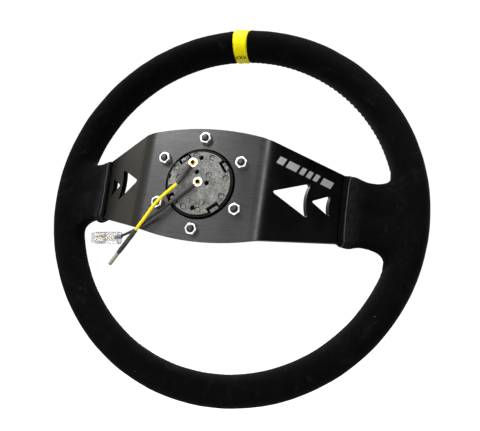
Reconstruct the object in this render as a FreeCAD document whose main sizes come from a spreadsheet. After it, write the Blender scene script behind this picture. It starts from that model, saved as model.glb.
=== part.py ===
import FreeCAD, Part
import math
import os
import Sketcher

# Two-spoke, deep-dish, suede-covered steering wheel with a horn button and its two leads.
# Frame: +Z up (towards the 12 o'clock marker), the wheel's axis along Y, the driver at -Y and
# the steering column at +Y. Origin: centre of the bolt circle, in the outer face of the nuts.
# All lengths are in millimetres.

V = FreeCAD.Vector
Placement = FreeCAD.Placement
Rotation = FreeCAD.Rotation

SIZES = {
    # rim
    "rim_circle_r": 160.0,
    "grip_half_width": 13.0,
    "grip_half_depth": 16.4,
    "suede_skin": 1.2,
    "foam_gap": 0.1,
    "marker_proud": 0.5,
    "marker_angle": 4.7,
    "marker_middle": 88.4,
    "tube_radius": 7.0,
    "dish": 68.0,
    # spoke plate
    "plate_thick": 4.0,
    "plate_rear": -4.0,
    "hub_half_height": 43.5,
    "bend_x": 48.0,
    "bend_half_height": 37.6,
    "neck_half_height": 25.9,
    "wing_angle": 37.2,
    "tab_bend_x": 112.0,
    "tab_angle": 24.0,
    "tab_half_height": 19.0,
    "tab_end_x": 151.3,
    "bend_front_r": 14.0,
    "horn_hole_r": 27.4,
    # bolt circle
    "bolt_circle_r": 35.0,
    "bolt_count": 6,
    "stud_r": 2.5,
    "shank_r": 2.3,
    "bolt_hole_r": 2.6,
    "bolt_head_r": 4.6,
    "bolt_head_depth": 2.5,
    "hex_key_width": 3.0,
    "stud_free_length": 2.0,
    "nut_width": 8.0,
    "nut_thick": 4.0,
    # horn
    "ring_outer_r": 41.6,
    "ring_inner_r": 27.6,
    "ring_thick": 6.0,
    "housing_r": 26.0,
    "housing_bore_r": 24.75,
    "housing_flange_r": 30.0,
    "flange_thick": 3.0,
    "base_r": 24.15,
    "base_thick": 2.0,
    "base_rear": -1.5,
    "bezel_outer_r": 33.0,
    "bezel_lip_r": 27.5,
    "bezel_front": -21.2,
    "cap_r": 27.0,
    "cap_flange_r": 28.6,
    "cap_front": -25.0,
    "cap_wall": 4.2,
    "cap_stop": -19.5,
    "cap_flange_thick": 1.2,
    "badge_r": 9.0,
    "badge_seat_depth": 1.0,
    "lip_thick": 1.4,
    "contact_r": 18.5,
    "contact_hole_r": 6.0,
    "contact_thick": 0.8,
    "contact_front": -15.2,
    "post_outer_r": 18.0,
    "post_inner_r": 14.0,
    "ledge_r": 19.6,
    "ledge_rear": -9.2,
    "ledge_front": -11.2,
    "ledge_ring_r": 12.0,
    "bead_outer_r": 17.6,
    "bead_inner_r": 15.6,
    "bead_height": 1.9,
    "spring_wire_r": 0.35,
    "spring_coil_r": 1.9,
    "spring_circle_r": 21.5,
    # leads
    "eyelet_hole_r": 1.65,
    "eyelet_rim_r": 2.3,
    "tongue_r": 3.6,
    "tongue_thick": 0.8,
    "barrel_r": 1.05,
    "barrel_long": 7.5,
    "boot_r": 2.2,
    "yellow_r": 1.25,
    "black_r": 1.0,
    "sleeve_r": 1.7,
    "bare_r": 1.25,
    "housing_long": 23.5,
    "housing_wide": 9.0,
    "housing_deep": 6.0,
}

doc = FreeCAD.newDocument("steering_wheel")
sheet = doc.addObject("Spreadsheet::Sheet", "Sizes")
for row, (alias, value) in enumerate(SIZES.items(), start=1):
    sheet.set("A%d" % row, alias)
    sheet.set("B%d" % row, str(value))
    sheet.setAlias("B%d" % row, alias)
doc.recompute()

nodes = {}


def size(name):
    """A driving dimension, read back from the sheet."""
    return float(sheet.get(name))


def number(expression):
    """The value of an expression in the sheet's aliases."""
    total = sheet.evalExpression(with_sheet(expression))
    return float(getattr(total, "Value", total))


def with_sheet(expression):
    """The expression with each alias written as a cell of the sheet."""
    words = []
    word = ""
    for letter in str(expression) + " ":
        if letter.isalnum() or letter in "_.":
            word += letter
            continue
        words.append("Sizes." + word if word in SIZES else word)
        words.append(letter)
        word = ""
    return "".join(words).strip()


def bind(thing, prop, expression):
    """Drive a property of an object from the sheet."""
    thing.setExpression(prop, with_sheet(expression))


def keep(thing, label):
    """Name an object as one of the wheel's pieces."""
    thing.Label = label
    nodes[label] = thing
    return thing


# ---------------------------------------------------------------------------------------------
# PartDesign helpers
# ---------------------------------------------------------------------------------------------

def new_body(label):
    body = doc.addObject("PartDesign::Body", label)
    return keep(body, label)


def new_sketch(body, name, plane, offset="0", turn=0.0):
    """A sketch on one of the body's own origin planes. On XZ_Plane the normal is -Y."""
    sketch = body.newObject("Sketcher::SketchObject", name)
    support = [f for f in body.Origin.OriginFeatures if f.Role == plane][0]
    sketch.AttachmentSupport = (support, "")
    sketch.MapMode = "FlatFace"
    sketch.AttachmentOffset = Placement(V(0, 0, number(offset)), Rotation(V(0, 1, 0), turn))
    if offset != "0":
        bind(sketch, "AttachmentOffset.Base.z", offset)
    return sketch


def polygon(sketch, points):
    """A closed outline whose corners' two coordinates are expressions in the sheet."""
    values = [V(number(a), number(b), 0) for a, b in points]
    first = sketch.GeometryCount
    count = len(points)
    for i in range(count):
        sketch.addGeometry(Part.LineSegment(values[i], values[(i + 1) % count]), False)
    for i in range(count):
        sketch.addConstraint(Sketcher.Constraint("Coincident", first + i, 2, first + (i + 1) % count, 1))
    for i, (a, b) in enumerate(points):
        place_point(sketch, first + i, 1, a, b)
    return first


def place_point(sketch, geometry, point, a, b):
    """Pin a point of a sketch to two expressions, measured from the sketch's origin."""
    for kind, expression in (("DistanceX", a), ("DistanceY", b)):
        value = number(expression)
        index = sketch.addConstraint(Sketcher.Constraint(kind, -1, 1, geometry, point, value))
        if any(alias in expression for alias in SIZES):
            bind(sketch, "Constraints[%d]" % index, expression)


def circle(sketch, radius, a="0", b="0"):
    """A circle whose radius and centre are expressions in the sheet."""
    centre = V(number(a), number(b), 0)
    index = sketch.addGeometry(Part.Circle(centre, V(0, 0, 1), number(radius)), False)
    place_point(sketch, index, 3, a, b)
    constraint = sketch.addConstraint(Sketcher.Constraint("Radius", index, number(radius)))
    if any(alias in radius for alias in SIZES):
        bind(sketch, "Constraints[%d]" % constraint, radius)
    return index


def pad(body, sketch, length, both_ways=False):
    feature = body.newObject("PartDesign::Pad", sketch.Name + "_pad")
    feature.Profile = sketch
    bind(feature, "Length", length)
    feature.Midplane = both_ways
    doc.recompute()
    return feature


def pocket(body, sketch, length="", reverse=False):
    """A cut that must remove material; with no length it goes through the body both ways."""
    before = body.Shape.Volume
    feature = body.newObject("PartDesign::Pocket", sketch.Name + "_cut")
    feature.Profile = sketch
    if length:
        bind(feature, "Length", length)
        feature.Reversed = reverse
    else:
        feature.Type = "ThroughAll"
        feature.Midplane = True
    doc.recompute()
    if body.Shape.Volume > before - 1e-6:
        raise RuntimeError("%s removed nothing" % feature.Name)
    return feature


def lathe(label, points):
    """A turned piece about the wheel's axis: points are (radius, y)."""
    body = new_body(label)
    sketch = new_sketch(body, label + "_profile", "XY_Plane")
    polygon(sketch, points)
    turned = body.newObject("PartDesign::Revolution", label + "_turned")
    turned.Profile = sketch
    turned.ReferenceAxis = (sketch, ["V_Axis"])
    turned.Angle = 360.0
    doc.recompute()
    return body


def around(body, feature, count, sketch):
    """Repeat a feature evenly about the wheel's axis."""
    pattern = body.newObject("PartDesign::PolarPattern", feature.Name + "_around")
    pattern.Originals = [feature]
    pattern.Axis = (sketch, ["N_Axis"])
    pattern.Angle = 360.0
    pattern.Occurrences = count
    body.Tip = pattern
    doc.recompute()
    return pattern


def soften(body, kind, name, amount, chosen):
    """Fillet or chamfer the edges of the body's last feature that a test picks."""
    base = body.Tip
    edges = ["Edge%d" % (i + 1) for i, edge in enumerate(base.Shape.Edges) if chosen(edge)]
    if not edges:
        raise RuntimeError("%s: no edges chosen" % name)
    feature = body.newObject("PartDesign::" + kind, name)
    feature.Base = (base, edges)
    bind(feature, "Radius" if kind == "Fillet" else "Size", amount)
    doc.recompute()
    return feature


# ---------------------------------------------------------------------------------------------
# Spoke plate: one bent aluminium sheet, hub in the middle and a wing on each side
# ---------------------------------------------------------------------------------------------

WING_TAN = math.tan(math.radians(SIZES["wing_angle"]))
TAB_TAN = math.tan(math.radians(SIZES["tab_angle"]))
WING_COS = math.cos(math.radians(SIZES["wing_angle"]))
TAB_COS = math.cos(math.radians(SIZES["tab_angle"]))
BLANK_MARGIN = 12.0
BEND_REACH = 3.5
EDGE_TOLERANCE = 0.01
OUTSIDE_X = 170.0
OUTSIDE_Z = 70.0
TAB_SHOULDER = 7.0
TAB_THICK = 3.0
TAB_LONG = 42.0
TAB_START = 118.0
TAB_WIDE = 36.0
RIVET_SHANK_R = 2.4
RIVET_HEAD_R = 4.4
RIVET_HEAD_THICK = 1.4
RIVET_PLACES = ((124.0, 12.0), (124.0, -12.0), (136.0, 0.0))
RIVET_DRILL = 30.0
WING_HOLES = ({"apex": 53.6, "base": 80.8, "half": 14.2, "bow": 3.6, "corner": 1.3},
              {"apex": 81.4, "base": 96.2, "half": 8.9, "bow": 2.2, "corner": 0.9})


def wing_y(x):
    """The height of the plate's rear face at a distance x from the middle."""
    x = abs(x)
    y = size("plate_rear")
    if x > size("bend_x"):
        y -= (min(x, size("tab_bend_x")) - size("bend_x")) * WING_TAN
    if x > size("tab_bend_x"):
        y -= (x - size("tab_bend_x")) * TAB_TAN
    return y


def strip_points(rise_rear, rise_front, end_x):
    """Corners of the bent strip's edge, between two surfaces parallel to the plate's rear face.

    The rises are measured square to the sheet, so each bend corner moves along its bisector."""
    bend = size("bend_x")
    tab = size("tab_bend_x")
    wing = math.radians(size("wing_angle"))
    tip = math.radians(size("tab_angle"))

    def corner(x, before, after, rise):
        middle = (before + after) / 2
        shift = rise / math.cos((after - before) / 2)
        return x + shift * math.sin(middle), wing_y(x) + shift * math.cos(middle)

    def surface(rise):
        end = (end_x + rise * math.sin(tip), wing_y(end_x) + rise * math.cos(tip))
        return [corner(bend, 0.0, wing, rise), corner(tab, wing, tip, rise), end]

    rear = surface(rise_rear)
    front = surface(rise_front)
    return rear, front


def bent_outline(rise_rear, rise_front, end_x):
    rear, front = strip_points(rise_rear, rise_front, end_x)
    right = rear + front[::-1]
    left = [(-x, y) for x, y in front + rear[::-1]]
    return right + left


def make_spoke_plate():
    body = new_body("spoke_plate")
    edge_view = new_sketch(body, "plate_edge", "XY_Plane")
    corners = bent_outline(0.0, -size("plate_thick"), size("tab_end_x"))
    polygon(edge_view, [("%.6f" % x, "%.6f" % y) for x, y in corners])
    pad(body, edge_view, "hub_half_height * 2 + %s" % BLANK_MARGIN, both_ways=True)

    def at_bend(edge, y):
        box = edge.BoundBox
        upright = box.ZLength > size("hub_half_height") and box.XLength < EDGE_TOLERANCE
        close = abs(abs(box.Center.x) - size("bend_x")) < BEND_REACH
        return upright and close and abs(box.Center.y - y) < EDGE_TOLERANCE

    rear = size("plate_rear")
    front = rear - size("plate_thick")
    soften(body, "Fillet", "rear_bends", "bend_front_r + plate_thick", lambda edge: at_bend(edge, rear))
    soften(body, "Fillet", "front_bends", "bend_front_r", lambda edge: at_bend(edge, front))

    outline = new_sketch(body, "plate_outline", "XZ_Plane")
    outside = [(-OUTSIDE_X, -OUTSIDE_Z), (OUTSIDE_X, -OUTSIDE_Z),
               (OUTSIDE_X, OUTSIDE_Z), (-OUTSIDE_X, OUTSIDE_Z)]
    polygon(outline, [(str(x), str(z)) for x, z in outside])
    add_plate_outline(outline)
    pocket(body, outline)

    hole = new_sketch(body, "horn_hole", "XZ_Plane")
    circle(hole, "horn_hole_r")
    pocket(body, hole)

    bolt = new_sketch(body, "bolt_hole", "XZ_Plane")
    circle(bolt, "bolt_hole_r", "0", "bolt_circle_r")
    first = pocket(body, bolt)
    around(body, first, int(size("bolt_count")), bolt)

    for side in (1, -1):
        cut_wing(body, side)
        drill_tab(body, side)
    return body


def add_plate_outline(sketch):
    """Bowed edges over the hub, straight wing edges, and the narrower tabs inside the rim."""
    bend = (size("bend_x"), size("bend_half_height"))
    neck = (size("tab_bend_x"), size("neck_half_height"))
    step = (size("tab_bend_x") + TAB_SHOULDER, size("tab_half_height"))
    end = (size("tab_end_x") + TAB_SHOULDER, size("tab_half_height"))
    crown = (0.0, size("hub_half_height"))

    def add_line(a, b):
        sketch.addGeometry(Part.LineSegment(V(a[0], a[1], 0), V(b[0], b[1], 0)), False)

    for up in (1, -1):
        bowed = [V(-bend[0], up * bend[1], 0), V(crown[0], up * crown[1], 0), V(bend[0], up * bend[1], 0)]
        sketch.addGeometry(Part.Arc(*bowed), False)
        for side in (1, -1):
            path = [bend, neck, step, end]
            path = [(side * x, up * z) for x, z in path]
            for a, b in zip(path, path[1:]):
                add_line(a, b)
    for side in (1, -1):
        add_line((side * end[0], end[1]), (side * end[0], -end[1]))


def rounded_triangle(sketch, apex, base, half, bow, corner):
    """A lightening hole that points at the hub: two straight sides, a bowed-in back, round corners."""
    top = V(base, half, 0)
    low = V(base, -half, 0)
    tip = V(apex, 0, 0)
    middle = V(base + bow, 0, 0)
    back = Part.Arc(top, middle, low).toShape()
    sides = [Part.LineSegment(low, tip).toShape(), Part.LineSegment(tip, top).toShape()]
    edges = [back] + sides
    for edge in rounded_corners(edges, corner):
        sketch.addGeometry(edge, False)


def rounded_corners(edges, corner):
    """The curves of a closed outline of edges after rounding each of its corners."""
    face = Part.Face(Part.Wire(edges))
    block = face.extrude(V(0, 0, 1))
    upright = [e for e in block.Edges if e.BoundBox.ZLength > 0.9]
    smooth = block.makeFillet(corner, upright)
    lowest = min(smooth.Faces, key=lambda f: f.BoundBox.ZMax)
    return [curve_piece(e) for e in Part.sortEdges(lowest.OuterWire.Edges)[0]]


def curve_piece(edge):
    """An edge as sketch geometry: a line segment or an arc through its ends and middle."""
    a = edge.valueAt(edge.FirstParameter)
    b = edge.valueAt((edge.FirstParameter + edge.LastParameter) / 2)
    c = edge.valueAt(edge.LastParameter)
    if isinstance(edge.Curve, Part.Line):
        return Part.LineSegment(a, c)
    return Part.Arc(a, b, c)


def cut_wing(body, side):
    """The two lightening holes of one wing, cut square to its sheet."""
    name = "wing_holes_right" if side > 0 else "wing_holes_left"
    sketch = new_sketch(body, name, "XZ_Plane")
    bend = V(side * size("bend_x"), size("plate_rear"), 0)
    turn = Rotation(V(0, 1, 0), -side * size("wing_angle"))
    sketch.AttachmentOffset = Placement(V(bend.x, 0, -bend.y), turn)
    doc.recompute()
    for hole in WING_HOLES:
        apex = side * (hole["apex"] - size("bend_x")) / WING_COS
        base = side * (hole["base"] - size("bend_x")) / WING_COS
        rounded_triangle(sketch, apex, base, hole["half"], -side * hole["bow"], hole["corner"])
    pocket(body, sketch)


def drill_tab(body, side):
    """The rivet holes of one tab, drilled square to it."""
    sketch = new_sketch(body, "rivet_holes_right" if side > 0 else "rivet_holes_left", "XZ_Plane")
    bend = size("tab_bend_x")
    turn = Rotation(V(0, 1, 0), -side * size("tab_angle"))
    sketch.AttachmentOffset = Placement(V(side * bend, 0, -wing_y(bend)), turn)
    for x, z in rivet_places():
        if x * side > 0:
            along = (x - side * bend) / TAB_COS
            circle(sketch, str(RIVET_SHANK_R), "%.4f" % along, "%.4f" % z)
    pocket(body, sketch)


def rivet_places():
    """Centres of the rivets that hold the wings to the rim's tabs, as (x, z)."""
    places = []
    for side in (1, -1):
        for x, z in RIVET_PLACES:
            places.append((side * x, z))
    return places


# ---------------------------------------------------------------------------------------------
# Rim: tube ring, foam grip, suede cover in three lengths, marker band
# ---------------------------------------------------------------------------------------------

def oval_ring(name, half_width, half_depth, angle=360.0, middle=0.0):
    """Part of a ring of oval section round the wheel's axis; middle is the angle from 3 o'clock."""
    oval = doc.addObject("Part::Ellipse", name + "_section")
    bind(oval, "MajorRadius", half_depth)
    bind(oval, "MinorRadius", half_width)
    centre = V(size("rim_circle_r"), size("plate_rear") - size("dish"), 0)
    oval.Placement = Placement(centre, Rotation(V(0, 0, 1), 90))
    ring = doc.addObject("Part::Revolution", name)
    ring.Source = oval
    ring.Axis = V(0, 1, 0)
    ring.Base = V(0, 0, 0)
    ring.Angle = angle
    ring.Symmetric = True
    ring.Solid = True
    ring.Placement = Placement(V(0, 0, 0), Rotation(V(0, 1, 0), -middle))
    return ring


def boolean(kind, name, base, tool):
    """A Cut or Common of two objects."""
    feature = doc.addObject("Part::" + kind, name)
    feature.Base = base
    feature.Tool = tool
    return feature


def tube_ring(name, radius):
    ring = doc.addObject("Part::Torus", name)
    bind(ring, "Radius1", "rim_circle_r")
    bind(ring, "Radius2", radius)
    centre = V(0, size("plate_rear") - size("dish"), 0)
    ring.Placement = Placement(centre, Rotation(V(1, 0, 0), 90))
    return ring


def make_armature():
    keep(tube_ring("rim_armature", "tube_radius"), "rim_armature")


def tab_frame(side, x):
    """Placement whose X runs outwards along a tab's rear face and whose Y is square to it."""
    tilt = -size("tab_angle")
    place = Placement(V(x, wing_y(x), 0), Rotation(V(0, 0, 1), tilt))
    if side < 0:
        return Placement(V(0, 0, 0), Rotation(V(0, 1, 0), 180)).multiply(place)
    return place


def make_armature_tabs():
    """A flat tab on each side, in front of the wing's end, saddled on the rim's tube."""
    tabs = []
    for side in (1, -1):
        name = "tab_right" if side > 0 else "tab_left"
        blank = doc.addObject("Part::Box", name + "_blank")
        blank.Length = TAB_LONG
        blank.Width = TAB_THICK
        blank.Height = TAB_WIDE
        frame = tab_frame(side, TAB_START)
        corner = V(0, -size("plate_thick") - TAB_THICK, -TAB_WIDE / 2)
        blank.Placement = frame.multiply(Placement(corner, Rotation()))
        saddled = boolean("Cut", name + "_saddled", blank, tube_ring(name + "_saddle", "tube_radius"))
        tabs.append(boolean("Cut", name, saddled, rivet_set(name + "_drill", side, RIVET_SHANK_R)))
    both = doc.addObject("Part::Compound", "armature_tabs")
    both.Links = tabs
    keep(both, "armature_tabs")


def rivet_set(name, side, radius):
    """Cylinders through the wing and its tab at the rivets of one side."""
    posts = []
    for index, (x, z) in enumerate(rivet_places()):
        if x * side < 0:
            continue
        post = doc.addObject("Part::Cylinder", "%s_%d" % (name, index))
        post.Radius = radius
        post.Height = RIVET_DRILL
        frame = rivet_frame(x, z)
        post.Placement = frame.multiply(Placement(V(0, 0, -RIVET_DRILL / 2), Rotation()))
        posts.append(post)
    group = doc.addObject("Part::MultiFuse", name)
    group.Shapes = posts
    return group


def rivet_frame(x, z):
    """Placement at a rivet's centre on the wing's rear face, with Z square to the sheet."""
    side = 1 if x > 0 else -1
    frame = tab_frame(side, abs(x))
    frame.Base.z = z
    lift = Placement(V(0, 0, 0), Rotation(V(1, 0, 0), -90))
    placed = frame.multiply(lift)
    placed.Base = V(frame.Base.x, frame.Base.y, z)
    return placed


def make_rivets():
    rivets = []
    grip = size("plate_thick") + TAB_THICK
    for index, (x, z) in enumerate(rivet_places()):
        frame = rivet_frame(x, z)
        shank = doc.addObject("Part::Cylinder", "rivet_shank_%d" % index)
        shank.Radius = RIVET_SHANK_R
        shank.Height = grip
        shank.Placement = frame.multiply(Placement(V(0, 0, -grip), Rotation()))
        rear = rivet_head("rivet_rear_%d" % index, frame, 0.0)
        front = rivet_head("rivet_front_%d" % index, frame, -grip - RIVET_HEAD_THICK)
        rivet = doc.addObject("Part::MultiFuse", "rivet_%d" % index)
        rivet.Shapes = [shank, rear, front]
        rivets.append(rivet)
    group = doc.addObject("Part::Compound", "armature_rivets")
    group.Links = rivets
    keep(group, "armature_rivets")


def rivet_head(name, frame, start):
    head = doc.addObject("Part::Cylinder", name)
    head.Radius = RIVET_HEAD_R
    head.Height = RIVET_HEAD_THICK
    head.Placement = frame.multiply(Placement(V(0, 0, start), Rotation()))
    return head


def make_foam():
    """The moulded grip: an oval ring round the tube, open where the wings and tabs come in."""
    centre = V(size("rim_circle_r"), size("plate_rear") - size("dish"), 0)
    depth = size("grip_half_depth") - size("suede_skin") - size("foam_gap")
    width = size("grip_half_width") - size("suede_skin") - size("foam_gap")
    oval = Part.Wire(Part.Ellipse(centre, depth, width).toShape())
    oval.rotate(centre, V(0, 0, 1), 90)
    bore = Part.Wire(Part.makeCircle(size("tube_radius"), centre))
    section = Part.Face(oval).cut(Part.Face(bore)).Faces[0]
    ring = section.revolve(V(0, 0, 0), V(0, 1, 0), 360)
    doc.recompute()
    feature("grip_foam", ring.cut([nodes["spoke_plate"].Shape, nodes["armature_tabs"].Shape]))


def skin(label, start, end, proud="0"):
    """A length of the rim's cover between two angles, measured from 3 o'clock."""
    middle = (start + end) / 2
    outer = oval_ring(label + "_outer", "grip_half_width + " + proud, "grip_half_depth + " + proud,
                      end - start, middle)
    inner = oval_ring(label + "_inner", "grip_half_width - suede_skin", "grip_half_depth - suede_skin")
    hollow = boolean("Cut", label + "_hollow", outer, inner)
    slit = boolean("Cut", label + "_slit", hollow, nodes["spoke_plate"])
    keep(boolean("Cut", label, slit, nodes["armature_tabs"]), label)


def make_skins():
    marker_start = size("marker_middle") - size("marker_angle") / 2
    marker_end = size("marker_middle") + size("marker_angle") / 2
    skin("suede_upper_right", 0.0, marker_start)
    skin("suede_upper_left", marker_end, 180.0)
    skin("suede_lower", 180.0, 360.0)
    skin("marker_band", marker_start, marker_end, "marker_proud")


# ---------------------------------------------------------------------------------------------
# Suede collars over the wings' outer ends, each with a piped edge
# ---------------------------------------------------------------------------------------------

COLLAR_START = 103.5
COLLAR_REAR = ((COLLAR_START, 2.0), (124.0, 3.4), (136.0, 5.6), (147.5, 8.6))
COLLAR_FRONT = ((147.5, 6.6), (136.0, 5.4), (124.0, 4.6), (COLLAR_START, 2.0))
COLLAR_SIDE = ((100.0, 27.4), (112.0, 28.9), (126.0, 26.7), (134.5, 28.6), (140.0, 35.0), (143.0, 42.0))
COLLAR_GAP = 0.05
PIPING_R = 0.9
PIPING_INSET = 3.6
PIPING_COVER = 2.3
PIPING_HALF_WIDE = 28.5
PIPING_CORNER_R = 1.3


def beside_plate(x, cover):
    """A point of the collar's edge view: cover is measured square to the plate's rear or front face."""
    angle = math.radians(size("wing_angle") if x < size("tab_bend_x") else size("tab_angle"))
    rise = cover if cover > 0 else cover - size("plate_thick")
    return V(x + rise * math.sin(angle), wing_y(x) + rise * math.cos(angle), 0)


def make_collar(side):
    label = "spoke_collar_right" if side > 0 else "spoke_collar_left"
    rear = [beside_plate(x, cover) for x, cover in COLLAR_REAR]
    front = [beside_plate(x, -cover) for x, cover in COLLAR_FRONT]
    edge_view = doc.addObject("Part::Feature", label + "_edge_view")
    edge_view.Shape = prism(smooth_outline(rear, front), V(0, 0, 100), V(0, 0, -50), side)
    top = [V(x, 0, z) for x, z in COLLAR_SIDE]
    bottom = [V(x, 0, -z) for x, z in reversed(COLLAR_SIDE)]
    face_view = doc.addObject("Part::Feature", label + "_face_view")
    face_view.Shape = prism(smooth_outline(top, bottom), V(0, 120, 0), V(0, -110, 0), side)
    block = boolean("Common", label + "_block", edge_view, face_view)
    rim = oval_ring(label + "_rim", "grip_half_width + %s" % COLLAR_GAP, "grip_half_depth + %s" % COLLAR_GAP)
    beyond = boolean("Cut", label + "_beyond", block, rim)
    around_plate = boolean("Cut", label + "_plate", beyond, nodes["spoke_plate"])
    around_tab = boolean("Cut", label + "_tab", around_plate, nodes["armature_tabs"])
    around_rivets = boolean("Cut", label + "_rivets", around_tab, nodes["armature_rivets"])
    keep(boolean("Cut", label, around_rivets, nodes["collar_piping"]), label)


def smooth_outline(first, second):
    """A closed wire: two smooth curves through points, joined by straight ends."""
    curves = []
    for points in (first, second):
        curve = Part.BSplineCurve()
        curve.interpolate(points)
        curves.append(curve.toShape())
    joins = [Part.makeLine(first[-1], second[0]), Part.makeLine(second[-1], first[0])]
    return Part.Wire([curves[0], joins[0], curves[1], joins[1]])


def prism(wire, length, start, side):
    """The wire's face drawn out along a vector, mirrored for the left side."""
    solid = Part.Face(wire).extrude(length)
    solid.translate(start)
    if side < 0:
        solid = solid.mirror(V(0, 0, 0), V(1, 0, 0))
    return solid


def make_piping():
    """A thin cord round each collar's hem, half sunk in it, in a plane square to the wing."""
    cords = []
    for side in (1, -1):
        low = -size("plate_thick") - PIPING_COVER
        high = PIPING_COVER
        wide = PIPING_HALF_WIDE
        corners = [V(PIPING_INSET, low, -wide), V(PIPING_INSET, high, -wide),
                   V(PIPING_INSET, high, wide), V(PIPING_INSET, low, wide)]
        path = rounded_loop(corners, PIPING_CORNER_R)
        start = path.Edges[0]
        middle = start.valueAt(start.FirstParameter)
        section = Part.Wire(Part.makeCircle(PIPING_R, middle, start.tangentAt(start.FirstParameter)))
        cord = path.makePipeShell([section], True, False, 2)
        cord.Placement = tab_frame_at_collar()
        if side < 0:
            cord = cord.mirror(V(0, 0, 0), V(1, 0, 0))
        cords.append(cord)
    feature("collar_piping", Part.Compound(cords))


def tab_frame_at_collar():
    """Placement on the wing's rear face at the collar's edge, X outwards along the wing."""
    turn = Rotation(V(0, 0, 1), -size("wing_angle"))
    return Placement(V(COLLAR_START, wing_y(COLLAR_START), 0), turn)


def rounded_loop(corners, radius):
    """A closed wire of straight runs and corner arcs."""
    count = len(corners)
    edges = []
    ends = []
    for i in range(count):
        before, here, after = corners[i - 1], corners[i], corners[(i + 1) % count]
        back = (before - here).normalize()
        on = (after - here).normalize()
        a = here + back * radius
        b = here + on * radius
        middle = here + (back + on) * radius * (1 - math.sqrt(0.5))
        ends.append((a, middle, b))
    for i in range(count):
        a, middle, b = ends[i]
        edges.append(Part.makeLine(ends[i - 1][2], a))
        edges.append(Part.Arc(a, middle, b).toShape())
    return Part.Wire(edges)


# ---------------------------------------------------------------------------------------------
# Bolt circle: countersunk socket bolts from the driver's side, plain nuts on the column side
# ---------------------------------------------------------------------------------------------

def bolt_places():
    count = int(size("bolt_count"))
    radius = size("bolt_circle_r")
    for i in range(count):
        angle = math.radians(90 + 360.0 * i / count)
        yield V(radius * math.cos(angle), 0, radius * math.sin(angle))


def make_bolt_and_nut():
    """One bolt and one nut as bodies at the wheel's axis, repeated round the bolt circle."""
    bolt = doc.addObject("PartDesign::Body", "bolt_master")
    sketch = new_sketch(bolt, "bolt_profile", "XY_Plane")
    head_top = "plate_rear - plate_thick - ring_thick"
    polygon(sketch, [("0", head_top), ("bolt_head_r", head_top),
                     ("bolt_head_r", head_top + " + 0.3"),
                     ("shank_r", head_top + " + bolt_head_depth"),
                     ("shank_r", "0"), ("stud_r", "0"),
                     ("stud_r", "stud_free_length - 0.35"),
                     ("stud_r - 0.35", "stud_free_length"), ("0", "stud_free_length")])
    turned = bolt.newObject("PartDesign::Revolution", "bolt_turned")
    turned.Profile = sketch
    turned.ReferenceAxis = (sketch, ["V_Axis"])
    doc.recompute()
    key = new_sketch(bolt, "bolt_key", "XZ_Plane", "plate_thick + ring_thick - plate_rear")
    hexagon(key, "hex_key_width")
    pocket(bolt, key, "bolt_head_depth - 0.2", reverse=False)

    nut = doc.addObject("PartDesign::Body", "nut_master")
    flat = new_sketch(nut, "nut_outline", "XZ_Plane")
    hexagon(flat, "nut_width")
    circle(flat, "shank_r")
    pad(nut, flat, "nut_thick")
    for label, master in (("hub_bolts", bolt), ("hub_nuts", nut)):
        feature = doc.addObject("Part::Feature", label)
        copies = []
        for place in bolt_places():
            copy = master.Shape.copy()
            copy.translate(place)
            copies.append(copy)
        feature.Shape = Part.Compound(copies)
        keep(feature, label)


def hexagon(sketch, width):
    """A regular hexagon with a corner up, given its width across flats."""
    corner = number(width) / math.sqrt(3)
    points = [V(corner * math.sin(math.radians(60 * i)), corner * math.cos(math.radians(60 * i)), 0)
              for i in range(6)]
    for i in range(6):
        sketch.addGeometry(Part.LineSegment(points[i], points[(i + 1) % 6]), False)


def make_horn_ring():
    """The ring on the plate's driver side that the bolts' heads sink into."""
    front = "plate_rear - plate_thick - ring_thick"
    blank = lathe("horn_ring_blank", [("ring_inner_r", "plate_rear - plate_thick"),
                                      ("ring_outer_r", "plate_rear - plate_thick"),
                                      ("ring_outer_r", "%s + %s" % (front, RING_CHAMFER)),
                                      ("ring_outer_r - %s" % RING_CHAMFER, front),
                                      ("ring_inner_r", front)])
    del nodes["horn_ring_blank"]
    sketch = new_sketch(blank, "ring_bolt", "XZ_Plane")
    circle(sketch, "bolt_hole_r", "0", "bolt_circle_r")
    first = pocket(blank, sketch)
    around(blank, first, int(size("bolt_count")), sketch)
    cones = []
    for index, place in enumerate(bolt_places()):
        cone = doc.addObject("Part::Cone", "countersink_%d" % index)
        bind(cone, "Radius1", "bolt_head_r + 0.3")
        bind(cone, "Radius2", "shank_r + 0.1")
        bind(cone, "Height", "bolt_head_depth + 0.2")
        front_y = number(front)
        cone.Placement = Placement(V(place.x, front_y, place.z), Rotation(V(1, 0, 0), -90))
        cones.append(cone)
    sinks = doc.addObject("Part::MultiFuse", "countersinks")
    sinks.Shapes = cones
    keep(boolean("Cut", "horn_ring", blank, sinks), "horn_ring")


# ---------------------------------------------------------------------------------------------
# Horn button: housing, base plate, clips, contacts, springs, bezel and the moving cap
# ---------------------------------------------------------------------------------------------

CLIP_ANGLES = (38.0, 128.0, 217.0, 308.0)
CLIP_WIDE = 7.0
CLIP_DEEP = 3.9
NOTCH_SPARE = 1.4
CLIP_SHEET = 0.6
CLIP_LEG_R = 24.15
CLIP_LEG_FRONT = -10.0
CLIP_LEG_LONG = 6.4
CLIP_TOP_LONG = 2.6
CLIP_PLAY = 0.5
SLOT_FRONT = -10.2
SLOT_LONG = 9.0
HOUSING_SET_BACK = 1.2
KEY_ANGLE = 172.0
KEY_WIDE = 3.4
KEY_START = 23.0
RING_CHAMFER = 1.5
CUT_MARGIN = 6.0


def turned_about(thing, angle):
    """Turn an object about the wheel's axis so that its +X end points at angle, seen from behind.

    Seen from the column side +X is on the left, so angles there run the other way."""
    thing.Placement = Placement(V(0, 0, 0), Rotation(V(0, 1, 0), -(180 - angle))).multiply(thing.Placement)
    return thing


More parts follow.
